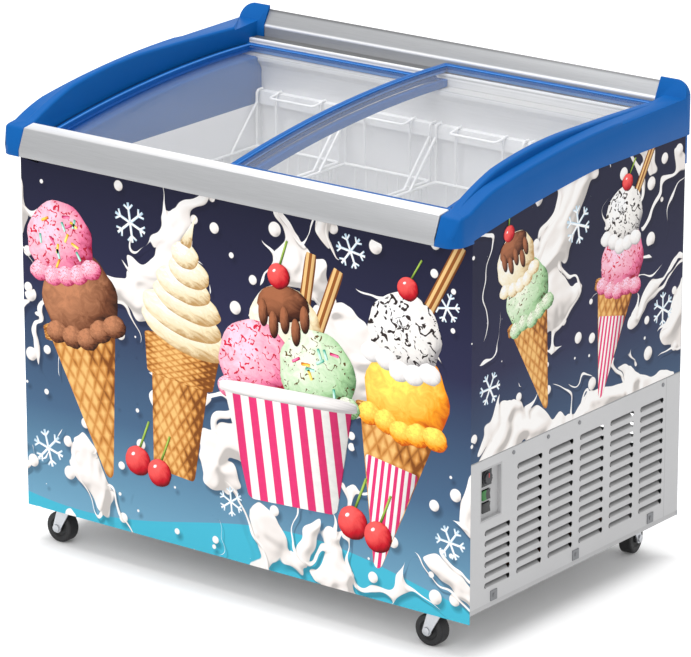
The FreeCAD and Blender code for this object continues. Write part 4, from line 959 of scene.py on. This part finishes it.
        # Painted shade: a dark line along the outer edge, where the gap at the cap wall lies in shade.
        seal = reach.fit(sizes.groove_shade_width, sizes.groove_shade_width + soft, 1.0, 0.0)
        return look.paint(seal.mix(look.colour, colours.groove_shade_blue))

    def glaze(self, side, sizes):
        """Curved pane between the bars, and the gasket that closes the groove round it."""
        x0, x1, y0, y1 = self.opening(side, sizes)
        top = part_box(side + "_lid_side_bars")[1].z - sizes.glass_drop
        axle = Vector((0.0, sizes.lid_peak, top - sizes.lid_radius + sizes.glass_drop))
        if side == "left":
            axle.z += sizes.lid_step
        outer = top - axle.z
        inner = outer - sizes.glass_sheet
        start = math.asin((y0 - axle.y) / outer)
        sweep = math.asin((y1 - axle.y) / outer) - start
        glass = self.bend(bmesh.new(), axle, start, sweep, x0, x1, outer, inner)
        gasket = bmesh.new()
        lip = 0.0012
        proud = 0.0006
        width = lip + sizes.gasket_width
        for x in (x0 - lip, x1 + lip - width):
            self.bend(gasket, axle, start, sweep, x, x + width, outer + proud, inner - proud)
        wide = width / outer
        for angle in (start - lip / outer, start + sweep + lip / outer - wide):
            self.bend(gasket, axle, angle, wide, x0, x1, outer + proud, inner - proud, 1)
        return glass, gasket

    def bend(self, bm, axle, start, sweep, x0, x1, outer, inner, steps=28):
        """Add a bar of rectangular section swept round the lid's axis."""
        turned = Matrix.Rotation(-start, 3, "X")
        face = bm.faces.new([bm.verts.new(axle + turned @ Vector((x, 0.0, z)))
                             for x, z in ((x0, outer), (x1, outer), (x1, inner), (x0, inner))])
        bmesh.ops.spin(bm, geom=[face, *face.edges, *face.verts], cent=axle, axis=(1.0, 0.0, 0.0),
                       angle=-sweep, steps=steps, use_merge=False)
        bmesh.ops.recalc_face_normals(bm, faces=bm.faces)
        return bm


class FREEZER_OT_tub(bpy.types.Operator):
    """Dress the inside of the tub"""
    bl_idname = "freezer.tub"
    bl_label = "Tub"

    def execute(self, context):
        white = context.scene.freezer_colours.liner_white
        dress(finish("liner_enamel", white, 0.42, spread=0.03, grain=300.0, relief=0.05), "inner_liner")
        dress(finish("white_moulding", white, 0.4, spread=0.02, grain=600.0, relief=0.05),
              "front_basket_rail", "rear_basket_rail", "drain_tube", "drain_plug")
        return {"FINISHED"}


class FREEZER_OT_baskets(bpy.types.Operator):
    """Bend and weld the four wire baskets"""
    bl_idname = "freezer.baskets"
    bl_label = "Baskets"

    def execute(self, context):
        colours = context.scene.freezer_colours
        coat = finish("coated_wire", colours.wire_white, 0.38, spread=0.03, grain=900.0, relief=0.08)
        for node in ("basket_1", "basket_2", "basket_3", "basket_4"):
            bm = bmesh.new()
            for diameter, paths in self.paths(context.scene.freezer_sizes, node):
                draw_wires(bm, diameter, paths)
            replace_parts(new_piece("wire_" + node, bm, node + "_body", "white_wire", coat), node)
        return {"FINISHED"}

    def spaced(self, start, end, pitch):
        """Places between two ends, about a pitch apart."""
        count = round((end - start) / pitch)
        return [start + (end - start) * i / count for i in range(1, count)]

    def paths(self, sizes, node):
        """Wires of one basket, by diameter."""
        low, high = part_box(node)
        net, rim, hook = sizes.net_wire / 2, sizes.rim_wire / 2, sizes.hook_wire / 2
        x0, x1 = low.x, high.x
        y0, y1 = low.y + sizes.hook_reach, high.y - sizes.hook_reach
        rim_z = high.z - sizes.rim_drop - rim
        hook_z = high.z - hook
        floor = low.z + net
        over = floor + sizes.net_wire
        bend = 0.008

        def ring(inset, z):
            """Closed wire round the basket."""
            return [(x0 + inset, y0 + inset, z), (x1 - inset, y0 + inset, z), (x1 - inset, y1 - inset, z),
                    (x0 + inset, y1 - inset, z)], bend, True

        fine = [([(x0 + net, y, rim_z), (x0 + net, y, floor), (x1 - net, y, floor), (x1 - net, y, rim_z)],
                 bend, False) for y in self.spaced(y0, y1, sizes.net_pitch)]
        fine += [([(x, y0 + net, rim_z), (x, y0 + net, over), (x, y1 - net, over), (x, y1 - net, rim_z)],
                  bend, False) for x in self.spaced(x0, x1, sizes.net_pitch)]
        fine += [ring(3 * net, floor + (rim_z - floor) * share) for share in (0.12, 0.52)]
        medium = []
        half = sizes.handle_width / 2 - hook
        left, right = (x0 + x1) / 2 - half, (x0 + x1) / 2 + half
        for end, way in ((y0, -1), (y1, 1)):
            post = end - way * hook
            tip = end + way * sizes.hook_reach
            foot = end - way * (sizes.brace_run + hook)
            grip = post - way * sizes.grip_reach
            medium += [([(x, post, rim_z), (x, post, hook_z), (x, tip, hook_z)], bend, False)
                       for x in (x0 + hook, x1 - hook, left, right)]
            medium += [([(x, post, high.z - sizes.brace_drop), (x, foot, rim_z)], 0.0, False)
                       for x in (x0 + hook, x1 - hook)]
            medium.append(([(left, post, hook_z - hook), (left, grip, hook_z - 2 * hook),
                            (right, grip, hook_z - 2 * hook), (right, post, hook_z - hook)], bend, False))
        return (sizes.net_wire, fine), (sizes.rim_wire, [ring(rim, rim_z)]), (sizes.hook_wire, medium)


class FREEZER_OT_grille(bpy.types.Operator):
    """Dress the louvred side grille and seal its seam"""
    bl_idname = "freezer.grille"
    bl_label = "Side grille"

    def execute(self, context):
        colours = context.scene.freezer_colours
        grey = colours.grille_grey
        low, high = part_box("side_grille")
        folded = high.y - 0.042
        coat = finish("grey_powder_coat", grey, 0.45, spread=0.03, grain=1100.0, relief=0.12)
        x, y, _ = coat.place.parts()
        # Painted shade: the coat darkens with depth into the louvres, where the tabs lie in shade, broken up
        # by noise.
        depth = (high.x - x).fit(0.0, 0.009)
        shadow = depth.ramp(*((place, (level,) * 3) for place, level in (
            (0.085, 0.0), (0.115, 0.36), (0.45, 0.78), (0.9, 0.95))))
        recess_shade = shadow * coat.place.noise(60.0, 4.0).fit(0.3, 0.7, 0.85, 1.0)
        # Painted shade: a thin dark line along the fold near the rear edge, where the bend shows in shade.
        crease = abs(y - folded).fit(0.0012, 0.0004, 0.0, 0.35)
        coat.paint(crease.mix(recess_shade.mix(coat.colour, shade(grey, 0.1)), shade(grey, 0.4)))
        dress(coat, "side_grille")
        dress(finish("plated_fasteners", shade(colours.bright_zinc, 0.4), 0.45, 0.4, grain=400.0),
              "grille_fasteners")
        thick, tall = 0.0012, 0.002
        strip = bmesh.new()
        block(strip, (high.x - thick, 0.5 * (low.y + high.y), high.z + tall / 2),
              (thick, high.y - low.y, tall))
        bevel(strip, strip.edges[:], FINE_EDGE)
        rubber = finish("seam_seal", shade(grey, 0.75), 0.7, spread=0.1, grain=300.0, relief=0.2)
        new_piece("grille_seam_seal", strip, "cabinet", "rubber", rubber)
        return {"FINISHED"}


class FREEZER_OT_controls(bpy.types.Operator):
    """Mould the thermostat dial, the rocker switches and their frames"""
    bl_idname = "freezer.controls"
    bl_label = "Controls"

    def execute(self, context):
        colours = context.scene.freezer_colours
        black = finish("black_moulding", colours.black, 0.45, spread=0.12, grain=800.0)
        knob = finish("dial_moulding", shade(colours.black, 3.0), 0.5, spread=0.12, grain=900.0)
        green = finish("lit_green", colours.lamp_green, 0.3, spread=0.1)
        red = finish("dial_pointer", srgb(190, 40, 44), 0.5, spread=0.1)
        plate = finish("grey_moulding", shade(colours.grille_grey, 0.86), 0.5, spread=0.03, grain=900.0)
        dress(plate, "control_plate")
        dress(black, "thermostat", "switch_bodies", "cord_gland")
        rocker_round = 0.0012
        middle = self.middle("power_switch")
        rounded("power_switch", rocker_round, "green_plastic", green, black, split=middle,
                pick=lambda spot: int(spot.y > middle.y))
        rounded("auxiliary_switch", rocker_round, "black_plastic", black)
        frames = bmesh.new()
        gap = 0.004
        for node in ("power_switch", "auxiliary_switch"):
            low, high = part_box(node)
            self.surround(frames, node, high.y - low.y + gap, high.z - low.z + gap, 0.0017)
        self.surround(frames, "thermostat_dial", 0.029, 0.029, 0.0)
        new_piece("switch_frames", frames, "cabinet", "black_plastic", black)
        dial = new_piece("dial_knob", self.knob(), "dial", "black_plastic", knob, red)
        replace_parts(dial, "thermostat_dial")
        return {"FINISHED"}

    def middle(self, node):
        """Middle of a node in Y and Z, on the face of the control plate."""
        low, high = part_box(node)
        rim = 0.0065
        return Vector((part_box("control_plate")[1].x - rim, 0.5 * (low.y + high.y), 0.5 * (low.z + high.z)))

    def surround(self, bm, node, width, height, border):
        """Moulded plate on the control plate behind a node, with an opening where it has a border."""
        thick = 0.001
        part = bmesh.new()
        scale = Matrix.Diagonal((width, height, 1.0, 1.0))
        bmesh.ops.create_grid(part, x_segments=1, y_segments=1, size=0.5,
                              matrix=Matrix.Translation(self.middle(node)) @ FACING_RIGHT @ scale)
        if border:
            inner = part.faces[:]
            bmesh.ops.inset_region(part, faces=inner, thickness=border, use_even_offset=True)
            bmesh.ops.delete(part, geom=inner, context="FACES")
        raise_faces(part, part.faces[:], (thick, 0.0, 0.0))
        bmesh.ops.recalc_face_normals(part, faces=part.faces)
        bevel(part, part.edges[:], FINE_EDGE)
        pour(part, bm)

    def knob(self):
        """Fluted dial on a skirt, with a pointer."""
        low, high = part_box("thermostat_dial")
        gap, skirt_rise, skirt_width = 0.0013, 0.0016, 0.0026
        middle = self.middle("thermostat_dial") + Vector((gap, 0.0, 0.0))
        radius = 0.5 * (high.y - low.y)
        bm = bmesh.new()
        bmesh.ops.create_circle(bm, cap_ends=True, segments=48, radius=radius,
                                matrix=Matrix.Translation(middle) @ FACING_RIGHT)
        skirt = raise_faces(bm, bm.faces[:], (skirt_rise, 0.0, 0.0))
        bmesh.ops.inset_region(bm, faces=skirt, thickness=skirt_width, use_even_offset=True)
        grip = raise_faces(bm, skirt, (high.x - middle.x - skirt_rise, 0.0, 0.0))[0]
        bmesh.ops.delete(bm, geom=skirt, context="FACES_ONLY")
        flutes = [vert for i, loop in enumerate(grip.loops) if i % 4 < 2
                  for vert in (loop.vert, next(edge.other_vert(loop.vert) for edge in loop.vert.link_edges
                                               if edge not in grip.edges[:]))]
        for factor, verts in ((0.93, flutes), (0.96, grip.verts)):
            bmesh.ops.scale(bm, vec=(1.0, factor, factor), verts=verts, space=Matrix.Translation(-middle))
        bmesh.ops.recalc_face_normals(bm, faces=bm.faces)
        top = (high.x, middle.y, middle.z + radius * 0.38)
        pointer = block(bm, top, (0.0005, 0.0018, radius * 0.6))
        for face in {face for vert in pointer for face in vert.link_faces}:
            face.material_index = 1
        return bm


class FREEZER_OT_casters(bpy.types.Operator):
    """Dress the four casters"""
    bl_idname = "freezer.casters"
    bl_label = "Casters"

    def execute(self, context):
        colours = context.scene.freezer_colours
        zinc = finish("plated_fork", colours.bright_zinc, 0.36, 0.85, spread=0.08, grain=300.0)
        tyre = finish("caster_tyre", colours.black, 0.6, spread=0.2, relief=0.2)
        for corner in CORNERS:
            dress(zinc, corner + "_caster_plate")
            rounded(corner + "_caster_fork", 0.0008, "zinc", zinc)
            dress(tyre, corner + "_caster_wheel")
        return {"FINISHED"}


class FREEZER_OT_machinery(bpy.types.Operator):
    """Dress the machinery behind the grille"""
    bl_idname = "freezer.machinery"
    bl_label = "Machinery"

    def execute(self, context):
        colours = context.scene.freezer_colours
        dress(finish("black_enamel", colours.black, 0.3, spread=0.15, grain=300.0),
              "compressor", "condenser", "fan_shroud", "fan_motor", "fan_blade", "terminal_box")
        dress(finish("rubber", colours.black, 0.8, spread=0.15, relief=0.2), "compressor_feet")
        dress(finish("copper_pipe", colours.copper, 0.32, 1.0, spread=0.12, grain=120.0),
              "refrigerant_pipes", "filter_drier", "evaporator_tube")
        return {"FINISHED"}


class FREEZER_OT_studio(bpy.types.Operator):
    """Set the floor, the soft light and the camera"""
    bl_idname = "freezer.studio"
    bl_label = "Studio"

    def execute(self, context):
        scene = context.scene
        studio = scene.freezer_studio
        scene.view_settings.view_transform = "Standard"
        self.make_floor()
        self.make_world(scene, studio)
        self.make_lamp("key_lamp", (-0.8, -0.45, 4.6), (0.0, 0.0, 0.4), 2.2, studio.key_light)
        self.make_lamp("fill_lamp", (0.9, -3.6, 3.2), (0.0, 0.1, 0.7), 2.4, studio.fill_light)
        direction = Vector((math.sin(studio.azimuth) * math.cos(studio.elevation),
                            -math.cos(studio.azimuth) * math.cos(studio.elevation),
                            math.sin(studio.elevation)))
        lens = bpy.data.cameras.new("camera")
        lens.lens = studio.lens
        lens.sensor_width = 36.0
        lens.clip_end = 100.0
        scene.camera = place_new("camera", lens)
        scene.camera.location = Vector(studio.target) + direction * studio.distance
        scene.camera.rotation_euler = direction.to_track_quat("Z", "Y").to_euler()
        return {"FINISHED"}

    def seen(self, tree):
        """1 where the camera, a gloss or a pane looks, and else 0."""
        path = add(tree, "LightPath", {}, "Is Camera Ray")
        through = path.other("Is Glossy Ray").maths("MAXIMUM", path.other("Is Transmission Ray"))
        return path.maths("MAXIMUM", through)

    def make_floor(self):
        """Pale floor that keeps the shadow, and glows faintly away from the cabinet."""
        bm = bmesh.new()
        bmesh.ops.create_grid(bm, x_segments=1, y_segments=1, size=30.0)
        mesh = bpy.data.meshes.new("floor")
        bm.to_mesh(mesh)
        bm.free()
        place_new("floor", mesh)
        look = Look("studio_floor", 0.9, gloss=0.0)
        look.inputs["Base Color"].default_value = (0.92, 0.92, 0.92, 1.0)
        look.inputs["Emission Color"].default_value = (1.0, 1.0, 1.0, 1.0)
        inset, fade, dim, bright = 0.05, 0.08, 0.06, 0.42
        x, y, _ = look.place.parts()
        beside = (abs(x) - (CAD_BOX[1].x - inset)).maths("MAXIMUM", abs(y) - (CAD_BOX[1].y - inset))
        glow = beside.fit(0.0, fade, dim, bright, "SMOOTHSTEP")
        look.drive("Emission Strength", self.seen(look.tree) * glow)
        mesh.materials.append(look.material)

    def make_world(self, scene, studio):
        """Even light, and white where it is seen directly."""
        scene.world = bpy.data.worlds.new("studio")
        scene.world.use_nodes = True
        tree = scene.world.node_tree
        inputs = tree.nodes["Background"].inputs
        inputs["Color"].default_value = (1.0, 1.0, 1.0, 1.0)
        strength = self.seen(tree).fit(0.0, 1.0, studio.sky_light, 1.0)
        tree.links.new(strength.socket, inputs["Strength"])

    def make_lamp(self, name, place, target, size, power):
        """Square soft lamp aimed at a point."""
        lamp = bpy.data.lights.new(name, "AREA")
        lamp.size = size
        lamp.energy = power
        holder = place_new(name, lamp)
        holder.location = place
        holder.rotation_euler = (Vector(place) - Vector(target)).to_track_quat("Z", "Y").to_euler()


STEPS = (FREEZER_OT_panels, FREEZER_OT_print, FREEZER_OT_end_caps, FREEZER_OT_rails, FREEZER_OT_lids,
         FREEZER_OT_tub, FREEZER_OT_baskets, FREEZER_OT_grille, FREEZER_OT_controls, FREEZER_OT_casters,
         FREEZER_OT_machinery, FREEZER_OT_studio)
GROUPS = {"freezer_colours": FreezerColours, "freezer_sizes": FreezerSizes, "freezer_studio": FreezerStudio}


class FREEZER_PT_sidebar(bpy.types.Panel):
    """Buttons for each group of pieces, and their sizes and colours"""
    bl_idname = "FREEZER_PT_sidebar"
    bl_label = "Ice cream freezer"
    bl_space_type = "VIEW_3D"
    bl_region_type = "UI"
    bl_category = "Freezer"

    def draw(self, context):
        for step in STEPS:
            self.layout.operator(step.bl_idname)
        for name, group in GROUPS.items():
            box = self.layout.box()
            for field in group.__annotations__:
                box.prop(getattr(context.scene, name), field)


CLASSES = (*GROUPS.values(), *STEPS, FREEZER_PT_sidebar)


def register():
    """Register the classes and hang their settings on the scene."""
    for item in CLASSES:
        bpy.utils.register_class(item)
    for name, group in GROUPS.items():
        setattr(bpy.types.Scene, name, bpy.props.PointerProperty(type=group))


def unregister():
    """Take the settings and the classes away again."""
    for name in GROUPS:
        delattr(bpy.types.Scene, name)
    for item in reversed(CLASSES):
        bpy.utils.unregister_class(item)


def main():
    """Make every group of pieces."""
    register()
    for step in STEPS:
        group, name = step.bl_idname.split(".")
        getattr(getattr(bpy.ops, group), name)()


if __name__ == "__main__":
    main()
